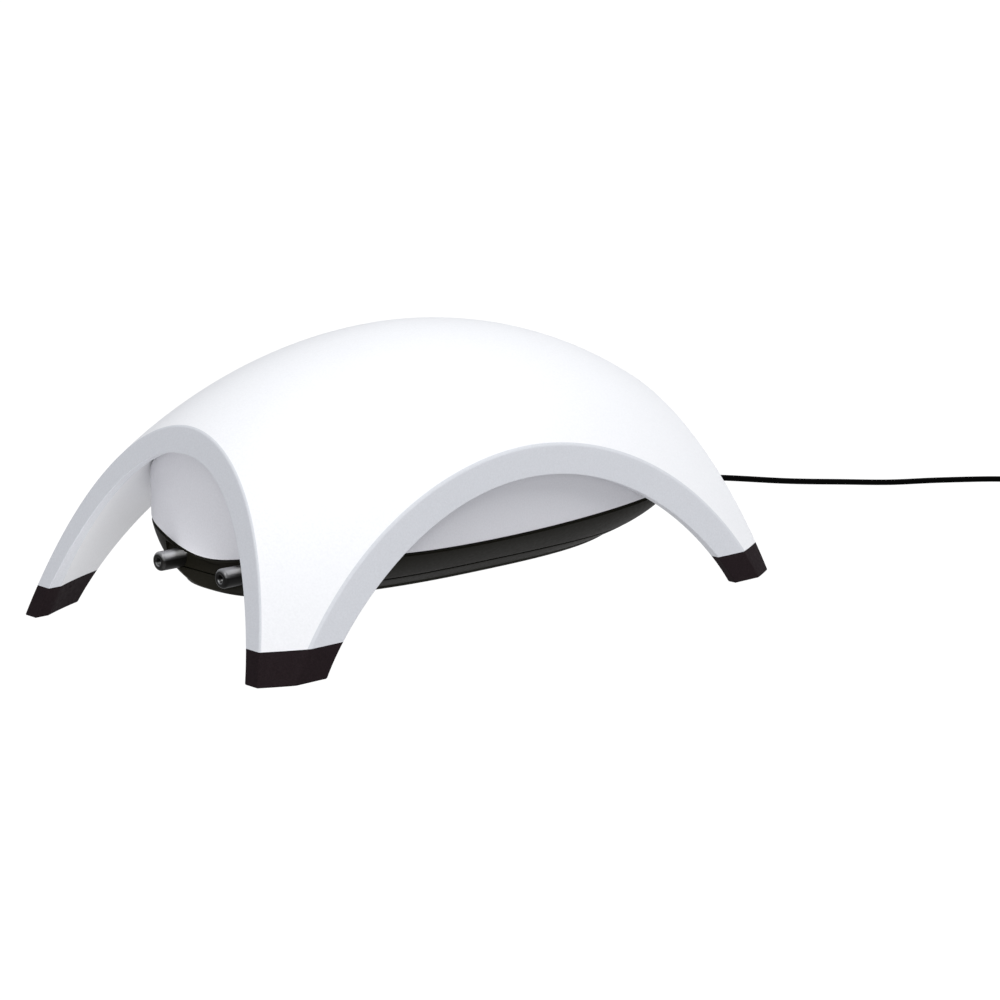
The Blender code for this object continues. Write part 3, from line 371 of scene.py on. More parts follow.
# ------------------------------------------------------------------ mesh tools
def make_object(name, bm):
    """Turns millimetres above the ground into a linked object in the CAD frame."""
    bmesh.ops.recalc_face_normals(bm, faces=bm.faces)
    mesh = bpy.data.meshes.new(name)
    bm.to_mesh(mesh)
    bm.free()
    mesh.transform(Matrix.Translation((0, 0, GROUND)) @ Matrix.Diagonal((MM, MM, MM, 1)))
    obj = bpy.data.objects.new(name, mesh)
    scene.collection.objects.link(obj)
    return obj


def shade_smooth(obj, sharp_angle=None):
    for poly in obj.data.polygons:
        poly.use_smooth = True
    if sharp_angle is not None:
        obj.data.set_sharp_from_angle(angle=math.radians(sharp_angle))


def add_piece(node, bm, mat, sharp_angle=None):
    """A visible piece that stands in for a CAD node."""
    obj = make_object(f"{node}_fine", bm)
    shade_smooth(obj, sharp_angle)
    obj.data.materials.append(mat)
    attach(obj, ROOT)
    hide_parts(node)
    return obj


def weigh_normals(obj, weight=50):
    finish = obj.modifiers.new("face_weighted", "WEIGHTED_NORMAL")
    finish.keep_sharp = True
    finish.weight = weight


def vert_rows(bm, rows):
    """Vertices for rows of points; a row of one point is a pole, repeated all round."""
    count = max(len(row) for row in rows)
    made = [[bm.verts.new(tuple(point)) for point in row] for row in rows]
    return [row * count if len(row) == 1 else row for row in made]


def grid_faces(bm, rows, close_u=False, close_v=False):
    """Faces between rows of vertices; rows may hold the same vertex more than once."""
    made = []
    for i in range(len(rows) if close_v else len(rows) - 1):
        row, following = rows[i], rows[(i + 1) % len(rows)]
        for j in range(len(row) if close_u else len(row) - 1):
            k = (j + 1) % len(row)
            corners = []
            for vert in (row[j], row[k], following[k], following[j]):
                if vert not in corners:
                    corners.append(vert)
            if len(corners) > 2:
                made.append(bm.faces.new(corners))
    return made


def lofted_bm(rings):
    """Rings of points joined in order, with a cap on both ends."""
    bm = bmesh.new()
    rows = vert_rows(bm, rings)
    grid_faces(bm, rows, close_u=True)
    bm.faces.new(rows[0])
    bm.faces.new(rows[-1])
    return bm


def two_skin_bm(outer, inside):
    """An outer skin from its foot to a pole and an inside back down, joined at the foot."""
    bm = bmesh.new()
    rows = vert_rows(bm, outer + inside)
    grid_faces(bm, rows[: len(outer)], close_u=True)
    grid_faces(bm, rows[len(outer) :], close_u=True)
    grid_faces(bm, [rows[-1], rows[0]], close_u=True)
    return bm


AXES = {"z": Matrix.Identity(3), "x": Matrix(((0, 0, 1), (0, 1, 0), (-1, 0, 0)))}


def turned_bm(profile, base, axis="z", sides=48):
    """A body of revolution from (radius, height) pairs about an axis through base."""
    angles = [2 * math.pi * i / sides for i in range(sides)]
    rings = []
    for radius, height in profile:
        around = angles if radius >= 1e-9 else [0.0]
        rings.append([
            AXES[axis] @ Vector((radius * math.cos(a), radius * math.sin(a), height))
            + Vector(base)
            for a in around
        ])
    bm = bmesh.new()
    is_tube = profile[0][0] > 1e-9
    grid_faces(bm, vert_rows(bm, rings), close_u=True, close_v=is_tube)
    return bm


def box_bm(low, high):
    bm = bmesh.new()
    bmesh.ops.create_cube(bm, size=1.0)
    low, high = Vector(low), Vector(high)
    bmesh.ops.scale(bm, vec=high - low, verts=bm.verts)
    bmesh.ops.translate(bm, vec=(low + high) / 2, verts=bm.verts)
    return bm


def tool(bm):
    """A body used only to cut or join."""
    return make_object("tool", bm)


def post(x, y, radius, low, high, sides=32):
    """An upright cylinder as a tool."""
    profile = [(0, low), (radius, low), (radius, high), (0, high)]
    return tool(turned_bm(profile, (x, y, 0), sides=sides))


def x_rod(radius, start, stop, y, z):
    """A cylinder along x as a tool."""
    profile = [(0, start), (radius, start), (radius, stop), (0, stop)]
    return tool(turned_bm(profile, (0, y, z), "x"))


def combine(obj, operation, tools):
    """Cuts or joins the tools one by one, applies the results and removes the tools."""
    for other in tools:
        mod = obj.modifiers.new("combine", "BOOLEAN")
        mod.operation = operation
        mod.solver = "MANIFOLD"
        mod.object = other
        bpy.context.view_layer.update()
        graph = bpy.context.evaluated_depsgraph_get()
        done = bpy.data.meshes.new_from_object(obj.evaluated_get(graph))
        obj.modifiers.clear()
        # An empty result means the solver gave up: the piece then stays as it was
        if len(done.polygons) > 0:
            old = obj.data
            obj.data = done
            done.name = old.name
            bpy.data.meshes.remove(old)
    for other in tools:
        bpy.data.objects.remove(other, do_unlink=True)


# ------------------------------------------------------------------ shader tools
NOISE_SPAN = (0.3, 0.7)  # the part of a noise texture's range that is spread out


def add_node(tree, kind, values=None):
    node = tree.nodes.new(kind)
    set_inputs(node, values or {})
    return node


def set_inputs(node, values):
    for name, value in values.items():
        node.inputs[name].default_value = value


def link(tree, source, target):
    tree.links.new(source, target)


def new_material(name):
    mat = bpy.data.materials.new(name)
    mat.use_nodes = True
    return mat, mat.node_tree, mat.node_tree.nodes["Principled BSDF"]


def coords(tree, stretch=None):
    where = tree.nodes.new("ShaderNodeTexCoord").outputs["Object"]
    if stretch is None:
        return where
    mapping = add_node(tree, "ShaderNodeMapping", {"Scale": stretch})
    link(tree, where, mapping.inputs["Vector"])
    return mapping.outputs["Vector"]


def noise(tree, vector, scale, detail=3.0, rough=0.6):
    values = {"Scale": scale, "Detail": detail, "Roughness": rough}
    texture = add_node(tree, "ShaderNodeTexNoise", values)
    link(tree, vector, texture.inputs["Vector"])
    return texture.outputs["Fac"]


def remap(tree, value, to, span=NOISE_SPAN):
    """Stretches the span of a value onto the pair to."""
    node = add_node(tree, "ShaderNodeMapRange", {
        "From Min": span[0], "From Max": span[1], "To Min": to[0], "To Max": to[1],
    })
    link(tree, value, node.inputs["Value"])
    return node.outputs["Result"]


def mix_color(tree, factor, first, second):
    """Mixes two colours, each a tuple or a socket."""
    node = tree.nodes.new("ShaderNodeMix")
    node.data_type = "RGBA"
    factor_in, first_in, second_in = (node.inputs[i] for i in (0, 6, 7))
    for value, socket in ((first, first_in), (second, second_in)):
        if isinstance(value, tuple):
            socket.default_value = (*value, 1)
        else:
            link(tree, value, socket)
    link(tree, factor, factor_in)
    return node.outputs[2]


def scaled(color, factor):
    return tuple(channel * factor for channel in color)


def bump(tree, height, distance, strength, onto=None):
    """A bump of a height in metres, laid over another normal if one is given."""
    node = add_node(tree, "ShaderNodeBump", {"Strength": strength, "Distance": distance})
    link(tree, height, node.inputs["Height"])
    if onto is not None:
        link(tree, onto, node.inputs["Normal"])
    return node.outputs["Normal"]


def split_by_camera(tree, unseen, seen, output):
    """Shows one shader to the camera and another to every other ray."""
    ray = tree.nodes.new("ShaderNodeLightPath")
    choose = tree.nodes.new("ShaderNodeMixShader")
    link(tree, ray.outputs["Is Camera Ray"], choose.inputs["Fac"])
    link(tree, unseen, choose.inputs[1])
    link(tree, seen, choose.inputs[2])
    link(tree, choose.outputs["Shader"], output)


# ------------------------------------------------------------------ materials
def moulded(name, color, rough, grain_mm=0.35, depth=0.00002, speckle=0.03, drift=0.02,
            specular=0.5, rough_swing=0.08):
    """Moulded plastic or rubber: spark-eroded grain, faint speckle, slow colour drift."""
    mat, tree, bsdf = new_material(name)
    at = coords(tree)
    fine = noise(tree, at, scale=1000.0 / grain_mm, detail=2.0, rough=0.55)
    soft = noise(tree, at, scale=1000.0 / (grain_mm * 2.6), detail=2.0, rough=0.5)
    slow = noise(tree, at, scale=26.0, detail=2.0, rough=0.5)
    dark, light = scaled(color, 1 - speckle), scaled(color, 1 + speckle)
    tone = mix_color(tree, remap(tree, fine, to=(0, 1), span=(0.32, 0.68)), dark, light)
    drifted = mix_color(tree, remap(tree, slow, to=(0.0, drift)), tone, scaled(color, 0.8))
    link(tree, drifted, bsdf.inputs["Base Color"])
    spread = (rough - rough_swing, rough + rough_swing)
    link(tree, remap(tree, soft, to=spread), bsdf.inputs["Roughness"])
    waves = bump(tree, soft, distance=depth * 2.0, strength=0.6)
    grain = bump(tree, fine, distance=depth, strength=0.9, onto=waves)
    link(tree, grain, bsdf.inputs["Normal"])
    set_inputs(bsdf, {"Specular IOR Level": specular})
    return mat


def paint_upper_sheen(mat):
    """Painted highlight: makes a material reflect more, and more on its upper side than on its
    ends and underside.
    """
    tree = mat.node_tree
    bsdf = tree.nodes["Principled BSDF"]
    shape = tree.nodes.new("ShaderNodeNewGeometry")
    parts = tree.nodes.new("ShaderNodeSeparateXYZ")
    link(tree, shape.outputs["Normal"], parts.inputs["Vector"])
    set_inputs(bsdf, {"IOR": 3.0})
    facing_up = remap(tree, parts.outputs["Z"], to=(0.02, 1.0), span=(0.15, 0.75))
    link(tree, facing_up, bsdf.inputs["Specular IOR Level"])


def brushed_metal(name, color, rough):
    """Metal with fine streaks and cloudy tone."""
    mat, tree, bsdf = new_material(name)
    lines = noise(tree, coords(tree, stretch=(60, 60, 1400)), scale=3.0, detail=4.0)
    cloud = noise(tree, coords(tree), scale=420.0)
    set_inputs(bsdf, {"Metallic": 1.0})
    tone = mix_color(tree, remap(tree, cloud, to=(0, 0.35)), color, scaled(color, 0.72))
    link(tree, tone, bsdf.inputs["Base Color"])
    link(tree, remap(tree, lines, to=(rough - 0.1, rough + 0.1)), bsdf.inputs["Roughness"])
    link(tree, bump(tree, lines, distance=0.000004, strength=0.8), bsdf.inputs["Normal"])
    return mat


def layered_metal(name, color, dark, pitch_mm, axis, rough):
    """Stacked sheets or turns of wire: bands along one axis with grooves between."""
    mat, tree, bsdf = new_material(name)
    bands = add_node(tree, "ShaderNodeTexWave", {
        "Scale": 1000.0 / pitch_mm / 3.2, "Distortion": 0.25, "Detail": 1.0,
    })
    bands.wave_type = "BANDS"
    bands.bands_direction = axis
    bands.wave_profile = "SIN"
    link(tree, coords(tree), bands.inputs["Vector"])
    cloud = noise(tree, coords(tree), scale=600.0)
    base = mix_color(tree, bands.outputs["Fac"], dark, color)
    tone = mix_color(tree, remap(tree, cloud, to=(0, 0.25)), base, dark)
    link(tree, tone, bsdf.inputs["Base Color"])
    set_inputs(bsdf, {"Metallic": 1.0})
    link(tree, remap(tree, cloud, to=(rough - 0.08, rough + 0.1)), bsdf.inputs["Roughness"])
    grooves = bump(tree, bands.outputs["Fac"], distance=0.00008, strength=0.8)
    link(tree, grooves, bsdf.inputs["Normal"])
    return mat


def felted(name, color):
    """Felt: fine fibres over coarser tufts."""
    mat, tree, bsdf = new_material(name)
    at = coords(tree)
    fibres = noise(tree, coords(tree, stretch=(1, 1, 6)), scale=1500.0, detail=6.0, rough=0.75)
    tufts = noise(tree, at, scale=350.0, detail=4.0)
    tone = mix_color(tree, remap(tree, fibres, to=(0, 1)), scaled(color, 0.7), color)
    link(tree, tone, bsdf.inputs["Base Color"])
    set_inputs(bsdf, {"Roughness": 0.95, "Sheen Weight": 0.4})
    lumps = bump(tree, tufts, distance=0.0004, strength=0.7)
    fuzz = bump(tree, fibres, distance=0.0002, strength=0.9, onto=lumps)
    link(tree, fuzz, bsdf.inputs["Normal"])
    return mat


def milky(name, color):
    """Translucent rubber that scatters light under its surface."""
    mat = moulded(name, color, rough=0.3, grain_mm=1.2, depth=0.00001, speckle=0.02, drift=0.06)
    set_inputs(mat.node_tree.nodes["Principled BSDF"], {
        "Subsurface Weight": 0.4,
        "Subsurface Radius": (0.002, 0.002, 0.0025),
        "Subsurface Scale": 1.0,
    })
    return mat


WHITE = moulded(
    "white_satin_plastic", (0.875, 0.88, 0.895), rough=0.46, grain_mm=0.55, depth=0.000028,
    speckle=0.022, drift=0.03, specular=0.45)
GREY = moulded(
    "light_grey_plastic", (0.675, 0.675, 0.708), rough=0.5, grain_mm=0.5, depth=0.00002,
    speckle=0.03, drift=0.04, specular=0.4)
# The dome's own white, made darker and bluer for the rim faces: painted shade
SHADED_RIM_WHITE = moulded(
    "white_plastic_rim_painted_shade", (0.67, 0.684, 0.718), rough=0.5, grain_mm=0.5, depth=0.00003,
    speckle=0.03, drift=0.03, specular=0.4)
BLACK = moulded(
    "black_satin_plastic", (0.0105, 0.0096, 0.0066), rough=0.46, grain_mm=0.35,
    depth=0.000006, speckle=0.1, drift=0.12, specular=0.04, rough_swing=0.04)
GLOSS = moulded(
    "black_gloss_plastic", (0.006, 0.0058, 0.0052), rough=0.34, grain_mm=0.8,
    depth=0.0000006, speckle=0.08, drift=0.1, specular=0.6, rough_swing=0.02)
# The outlets' bright upper side is a painted highlight
paint_upper_sheen(GLOSS)
FOOT = moulded(
    "aubergine_rubber", (0.0135, 0.0078, 0.0094), rough=0.72, grain_mm=0.4, depth=0.00004,
    speckle=0.22, drift=0.2, specular=0.1)
RUBBER = moulded(
    "black_rubber", (0.02, 0.02, 0.02), rough=0.75, grain_mm=0.6, depth=0.00003,
    speckle=0.2, drift=0.2, specular=0.3)
JACKET = moulded(
    "cable_jacket", (0.002, 0.002, 0.0018), rough=0.5, grain_mm=0.8, depth=0.00001,
    speckle=0.15, drift=0.1, specular=0.008)
NATURAL = moulded(
    "natural_nylon", (0.78, 0.76, 0.70), rough=0.45, grain_mm=0.7, depth=0.00002,
    speckle=0.03, drift=0.08)
STEEL = brushed_metal("zinc_steel", (0.62, 0.63, 0.65), rough=0.3)
MAGNET = moulded(
    "sintered_ferrite", (0.06, 0.06, 0.065), rough=0.55, grain_mm=0.25, depth=0.00003,
    speckle=0.3, drift=0.3)
IRON = layered_metal(
    "core_sheets", (0.42, 0.43, 0.45), dark=(0.14, 0.14, 0.15), pitch_mm=0.5, axis="X",
    rough=0.42)
COPPER = layered_metal(
    "enamelled_copper", (0.66, 0.27, 0.10), dark=(0.22, 0.07, 0.02), pitch_mm=0.35, axis="Y",
    rough=0.3)
FELT = felted("filter_felt", (0.75, 0.76, 0.74))
SILICONE = milky("silicone_hose", (0.72, 0.74, 0.74))
LEAD = moulded(
    "lead_insulation", (0.25, 0.12, 0.05), rough=0.45, grain_mm=0.8, depth=0.00001,
    speckle=0.1, drift=0.1)

# Slots of the CAD nodes and what they are made of
BY_SLOT = {
    "dome": WHITE, "housing": GREY, "tray": BLACK, "nozzle": GLOSS, "foot": FOOT,
    "hose": SILICONE, "cable": JACKET, "lead": LEAD, "rubber_parts": RUBBER, "steel": STEEL,
    "core": IRON, "magnet": MAGNET, "winding": COPPER, "felt": FELT, "valve_plate": GREY,
    "nylon": NATURAL,
}


def dress_cad_nodes():
    for entry in frame["record"]["subparts"]:
        obj = frame["nodes"][entry["node"]]
        mat = BY_SLOT[entry["material_slot"]]
        if not obj.material_slots:
            obj.data.materials.append(mat)
        for held in obj.material_slots:
            held.material = mat


# ------------------------------------------------------------------ dome
class Rim(NamedTuple):
    """Curves around one opening of a dome quarter, from the mirror plane downwards."""
    skin_back: np.ndarray  # where the rounded edge meets the skin
    skin: np.ndarray  # where skin and flat face would meet
    arch: np.ndarray
    under_uv: np.ndarray  # the arch on the inner skin, in the skin's plan coordinates
    under: np.ndarray

    def rows(self):
        return rim_rows(self.skin_back, self.skin, self.arch, self.under, RIM_STEPS)


def end_opening(z_end):
    outline = arch_curve(END_ARCH, z_end)
    across, z = outline.T
    arch = np.stack([end_x(z), across, z], 1)
    under = arch_under(outline, axis=1, guess=(78.0, 0.0))
    return Rim(end_rim(z_end, SKIN_BACK), end_rim(z_end), arch, *under)


def side_opening(z_end):
    outline = arch_curve(SIDE_ARCH, z_end)
    across, z = outline.T
    arch = np.stack([across, side_y(z), z], 1)
    under = arch_under(outline, axis=0, guess=(0.0, 56.0))
    return Rim(side_rim(z_end, SKIN_BACK), side_rim(z_end), arch, *under)


def dome_quarter():
    """The quarter with x and y positive: two skins, two rims, bottom cap and creases."""
    z_end = FOOT_H + JOINT
    end, side = end_opening(z_end), side_opening(z_end)
    end_rows, side_rows = end.rows(), side.rows()

    start = elbow(end.skin_back[0, 0], side.skin_back[0, 1])
    stop = level_outer(z_end, end.skin_back[-1], side.skin_back[-1], ACROSS_STEPS)
    plan = coons_patch(end.skin_back[:, :2], side.skin_back[:, :2], start, stop)
    plan = np.maximum(plan, 0)
    skin = np.concatenate([plan, dome_z(plan[..., 0], plan[..., 1])[..., None]], 2)
    skin[:, 0], skin[:, -1] = end.skin_back, side.skin_back

    # The inner skin is laid out in the skin's own plan coordinates
    start = elbow(end.under_uv[0, 0], side.under_uv[0, 1])
    stop = level_inner(z_end, end.under_uv[-1], side.under_uv[-1], ACROSS_STEPS)
    plan = np.maximum(coons_patch(end.under_uv, side.under_uv, start, stop), 0)
    under = np.stack(under_skin(plan[..., 0], plan[..., 1]), -1)
    under[:, 0], under[:, -1] = end.under, side.under

    # Exact bottom level, and exact mirror planes
    for grid in (skin, under):
        grid[-1, :, 2] = z_end
        grid[0, : ACROSS_STEPS // 2 + 1, 1] = 0.0
        grid[0, ACROSS_STEPS // 2 :, 0] = 0.0
    for rows, mirror_axis in ((end_rows, 1), (side_rows, 0)):
        for row in rows:
            row[-1, 2] = z_end
            row[0, mirror_axis] = 0.0

    cap = (
        list(skin[-1])
        + [row[-1] for row in side_rows[1:]]
        + list(under[-1][::-1][1:])
        + [row[-1] for row in end_rows[::-1][1:-1]]
    )
    creases = [end.under, side.under, np.array(cap + cap[:1])]
    return (skin, under), (np.array(end_rows), np.array(side_rows)), cap, creases


def build_dome():
    skins, rims, cap, creases = dome_quarter()
    bm = bmesh.new()
    known = {}

    def verts_of(points, signs):
        """Mirrored vertices, shared wherever two points coincide."""
        found = []
        for x, y, z in np.asarray(points) * np.array([*signs, 1.0]):
            key = (round(x * 20000), round(y * 20000), round(z * 20000))
            if key not in known:
                known[key] = bm.verts.new((float(x), float(y), float(z)))
            found.append(known[key])
        return found

    quarters = list(reversed(CORNERS.values()))
    for signs in quarters:
        for grid in skins:
            grid_faces(bm, [verts_of(row, signs) for row in grid])
        # Rim faces get the second material, the white with painted shade
        for grid in rims:
            for face in grid_faces(bm, [verts_of(row, signs) for row in grid]):
                face.material_index = 1
        bm.faces.new(verts_of(cap, signs))
    for signs in quarters:
        for line in creases:
            verts = verts_of(line, signs)
            for pair in zip(verts, verts[1:]):
                edge = bm.edges.get(pair)
                if edge is not None:
                    edge.smooth = False
    obj = add_piece("dome_shell", bm, WHITE)
    # Second material: the white with painted shade on the rims
    obj.data.materials.append(SHADED_RIM_WHITE)
    holes = []
    for sx in (-1, 1):
        holes.append(post(sx * HOUSING_SCREW_X, 0, SCREW_HOLE, 48, 61.3))
        for sy in (-1, 1):
            holes.append(post(sx * PEG_X, sy * PEG_Y, 1.45, 6, 12.2))
    combine(obj, "DIFFERENCE", holes)
    weigh_normals(obj, weight=60)


# ------------------------------------------------------------------ feet
def foot_ring(z):
    """Plan outline of the foot with x and y positive, anticlockwise from the end plane."""
    def end_point(back=0.0):
        x = end_x(z, back)
        return np.array([x, skin_y(x, z)])

    def side_point(back=0.0):
        y = side_y(z, back)
        return np.array([skin_x(y, z), y])

    end_arch = np.array([end_x(z), arch_half(END_ARCH, z)])
    side_arch = np.array([arch_half(SIDE_ARCH, z), side_y(z)])
    end_uv = solve_under(1, (end_arch[1], z), guess=(92.0, 50.0))
    side_uv = solve_under(0, (side_arch[0], z), guess=(77.0, 57.0))
    end_back, side_back = end_point(SKIN_BACK), side_point(SKIN_BACK)
    end_under = np.array(under_skin(*end_uv)[:2])
    side_under = np.array(under_skin(*side_uv)[:2])

    outer = list(level_outer(z, end_back, side_back, FOOT_SKIN_STEPS))
    side_face = rim_rows(side_back, side_point(), side_arch, side_under, FOOT_RIM_STEPS)
    inner_uv = level_inner(z, side_uv, end_uv, FOOT_SKIN_STEPS)
    inner = [np.array(under_skin(u, v)[:2]) for u, v in inner_uv]
    end_face = rim_rows(end_back, end_point(), end_arch, end_under, FOOT_RIM_STEPS)[::-1]
    return np.array(outer[:-1] + side_face[:-1] + inner + end_face[1:-1])


def inset(ring, by):
    """The anticlockwise closed outline moved inwards by a small distance."""
    along = unit(np.roll(ring, -1, 0) - np.roll(ring, 1, 0))
    return ring + by * np.stack([-along[:, 1], along[:, 0]], 1)


def lift(plan, z):
    """Plan points at one height, or at a height each."""
    z = np.broadcast_to(np.asarray(z, float), (len(plan),))
    return np.concatenate([plan, z[:, None]], 1)


def build_foot(corner, signs):
    heights = (FOOT_H - JOINT, 7.2, 6.0, 4.8, 3.6, 2.4, 1.3, 0.7, SOLE_ROUND)
    levels = [(z, 0.0) for z in heights]
    for a in (math.pi / 8, math.pi / 4, 3 * math.pi / 8, math.pi / 2):
        levels.append((SOLE_ROUND * (1 - math.sin(a)), SOLE_ROUND * (1 - math.cos(a))))
    rings = [lift(inset(foot_ring(z), by) * np.array(signs), z) for z, by in levels]
    obj = add_piece(f"foot_{corner}", lofted_bm(rings), FOOT)
    # (radius, height) up the peg
    peg = [(0, 6.2), (1.3, 6.2), (1.3, 11.3), (1.0, 11.7), (0, 11.7)]
    base = (signs[0] * PEG_X, signs[1] * PEG_Y, 0)
    combine(obj, "UNION", [tool(turned_bm(peg, base, sides=32))])
    shade_smooth(obj, 32)
    weigh_normals(obj)


# ------------------------------------------------------------------ pump body
def oval(half_x, half_y, power, bow):
    """A rounded rectangle whose front end curves back towards its corners."""
    t = 2 * math.pi * np.arange(POD_SIDES) / POD_SIDES
    cos, sin = np.cos(t), np.sin(t)
    reach = (np.abs(cos) ** power + np.abs(sin) ** power) ** (-1 / power)
    u, v = reach * cos, reach * sin
    return np.stack([half_x * u * (1 - np.where(u < 0, bow * v * v, 0)), half_y * v], 1)


def pod_plan(by=0.0):
    """The body's widest outline, inset by a distance."""
    return oval(POD_X - by, POD_Y - by, POD_POWER, POD_BOW)


def seam_z(x, y):
    """Height of the seam, which dips in the middle of each end."""
    end = np.clip((np.abs(x) - 45) / 20, 0, 1)
    end = end * end * (3 - 2 * end) * 0.5 + end * 0.5
    far = x / 60
    dip = SEAM_DIP * end * np.exp(-((y / SEAM_DIP_WIDTH) ** 2))
    return SEAM_Z + SEAM_RISE * far**2 + SEAM_TILT * far - dip


def hull_plan(z, by=0.0):
    """Inset outline of the hull at heights z, one per point, or at one height."""
    z = np.broadcast_to(np.asarray(z, float), (POD_SIDES,))
    share = np.clip((z - KEEL_Z) / (seam_z(*pod_plan().T) - KEEL_Z), 0, 1)
    full = 1 - (1 - share) ** FULLNESS
    return oval(
        between_sizes(KEEL_X, POD_X, full) - by,
        between_sizes(KEEL_Y, POD_Y, full) - by,
        between_sizes(KEEL_POWER, POD_POWER, full),
        POD_BOW * full,
    )


def between_sizes(keel, pod, full):
    return keel + (pod - keel) * full


def hull_row(z, by=0.0):
    return lift(hull_plan(z, by), z)


def shrunk(row, share):
    return row * np.array([share, share, 1.0])


def roof_skin(plan, depth):
    """Rings from the outline to the crown, at a depth under the dome's skin."""
    rings = []
    for share in ROOF_SHARES:
        ring = plan * share
        rings.append(lift(ring, depth_z(*ring.T, depth)))
    return rings + [[(0, 0, depth_z_at(0, 0, depth))]]


def build_housing():
    """The grey upper shell, with its screw bosses."""
    edge_round, roof_edge = 0.35, 0.5
    plan = pod_plan()
    low = seam_z(*plan.T) + GAP
    outer = []
    for a in (math.radians(degrees) for degrees in (0, 30, 60, 90)):
        by, up = edge_round * (1 - math.sin(a)), edge_round * (1 - math.cos(a))
        outer.append(lift(pod_plan(by), low + up))
    high = depth_z(*plan.T, ROOF_DEPTH) - roof_edge
    outer += [lift(plan, z) for z in steps_between(low + edge_round, high, 12)]
    outer += roof_skin(plan, ROOF_DEPTH)

    plan = pod_plan(HOUSING_WALL)
    low = seam_z(*plan.T) + GAP
    high = depth_z(*plan.T, ROOF_DEPTH + HOUSING_WALL) - roof_edge
    inside = roof_skin(plan, ROOF_DEPTH + HOUSING_WALL)[::-1]
    inside += [lift(plan, z) for z in steps_between(high, low, 8, first=0)]
    obj = add_piece("pump_housing", two_skin_bm(outer, inside), GREY)

    # Bosses end halfway through the roof
    boss_depth = ROOF_DEPTH + HOUSING_WALL / 2
    case_top = depth_z_at(CASE_SCREW_X, CASE_SCREW_Y, boss_depth)
    middle_top = depth_z_at(HOUSING_SCREW_X, 0, boss_depth)
    bosses, holes = [], []
    for sx in (-1, 1):
        for sy in (-1, 1):
            x, y = sx * CASE_SCREW_X, sy * CASE_SCREW_Y
            bosses.append(post(x, y, 3.6, 24.6, case_top, sides=40))
            holes.append(post(x, y, SCREW_HOLE, 20, 36))
        x = sx * HOUSING_SCREW_X
        bosses.append(post(x, 0, 4.2, 51, middle_top, sides=40))
        holes.append(post(x, 0, SCREW_HOLE, 40, 70))
    combine(obj, "UNION", bosses)
    combine(obj, "DIFFERENCE", holes)
    shade_smooth(obj, 40)


def recess_tool():
    """The recess across the front that the outlets stand in, from left to right."""
    tops = [(-y, z) for y, z in reversed(RECESS_TOP[1:])] + RECESS_TOP
    rings = []
    for y, z in tops:
        low_x, top_x = (RECESS_X - RECESS_DRAFT * (20 - h) for h in (RECESS_LOW, z))
        rings.append([
            (RECESS_FRONT, y, RECESS_LOW), (low_x, y, RECESS_LOW),
            (top_x, y, z), (RECESS_FRONT, y, z),
        ])
    return tool(lofted_bm(rings))


def web_tool(x, sy, low):
    """A thin upright web from a lug out to the tray's side wall."""
    side = [(20.0, low), (32.4, low), (39.3, 21.5), (20.0, 21.5)]  # (y, z)
    rings = [[(at, sy * y, z) for y, z in side] for at in (x - 1.2, x + 1.2)]
    return tool(lofted_bm(rings))


def build_tray():
    """The black ring between the seam and the parting line."""
    step_height, step_in, wall = 0.5, 0.35, 2.6
    pad_back = -64.6
    low = PARTING_Z + GAP
    top = seam_z(*pod_plan().T) - GAP
    ledge = top - step_height
    rows = [hull_row(low + up, by) for by, up in PARTING_ROUND]
    rows += [hull_row(z) for z in steps_between(low + PARTING_REACH, ledge - 0.15, 14)]
    rows += [hull_row(ledge - 0.03, 0.12), hull_row(ledge, step_in)]
    rows += [hull_row(top, step_in), hull_row(top, wall)]
    rows += [hull_row(z, wall) for z in steps_between(top, low, 6)]
    bm = bmesh.new()
    grid_faces(bm, vert_rows(bm, rows), close_u=True, close_v=True)
    obj = add_piece("base_tray", bm, BLACK)

    pads, cuts = [], []
    for sx, sy in CORNERS.values():
        x, y = sx * CASE_SCREW_X, sy * CASE_SCREW_Y
        pads.append(post(x, y, 3.7, low, 23.6, sides=40))
        pads.append(web_tool(x, sy, low + 0.02))
        cuts.append(post(x, y, SCREW_HOLE, 10, 30))
    pad_low = low + 0.01
    pads.append(tool(box_bm((-67.0, -6.9, pad_low), (pad_back, 6.9, 20.55))))
    cuts.append(recess_tool())
    # Pads around each outlet: front x, near y, far y, top z
    outlet_pads = ((RECESS_X, 6.6, 11.0, 21.0), (-66.1, 10.5, 19.3, 21.5))
    for sy in (-1, 1):
        for front, near, far, pad_top in outlet_pads:
            y0, y1 = sorted((sy * near, sy * far))
            pads.append(tool(box_bm((front, y0, pad_low), (pad_back, y1, pad_top))))
        cuts.append(x_rod(OUTLET_HOLE, -82, -58, sy * OUTLET_Y, OUTLET_Z))
    # Pad and hole for the cable at the rear
    pads.append(tool(box_bm((64.6, -6, pad_low), (67.6, 6, 21.4))))
    cuts.append(x_rod(3.0, 58, 82, 0, CABLE_Z))
    combine(obj, "UNION", pads)
    combine(obj, "DIFFERENCE", cuts)
    shade_smooth(obj, 38)
    weigh_normals(obj)


def slot_tool(x, half_width=1.0, half_length=9.0, low=5, high=20, sides=24):
    """An upright slot with round ends, long in y."""
    outline = []
    for i in range(sides):
        a = 2 * math.pi * i / sides
        centre = math.copysign(half_length - half_width, math.sin(a) + 1e-9)
        outline.append((x + half_width * math.cos(a), centre + half_width * math.sin(a)))
    return tool(lofted_bm([[(*point, z) for point in outline] for z in (low, high)]))


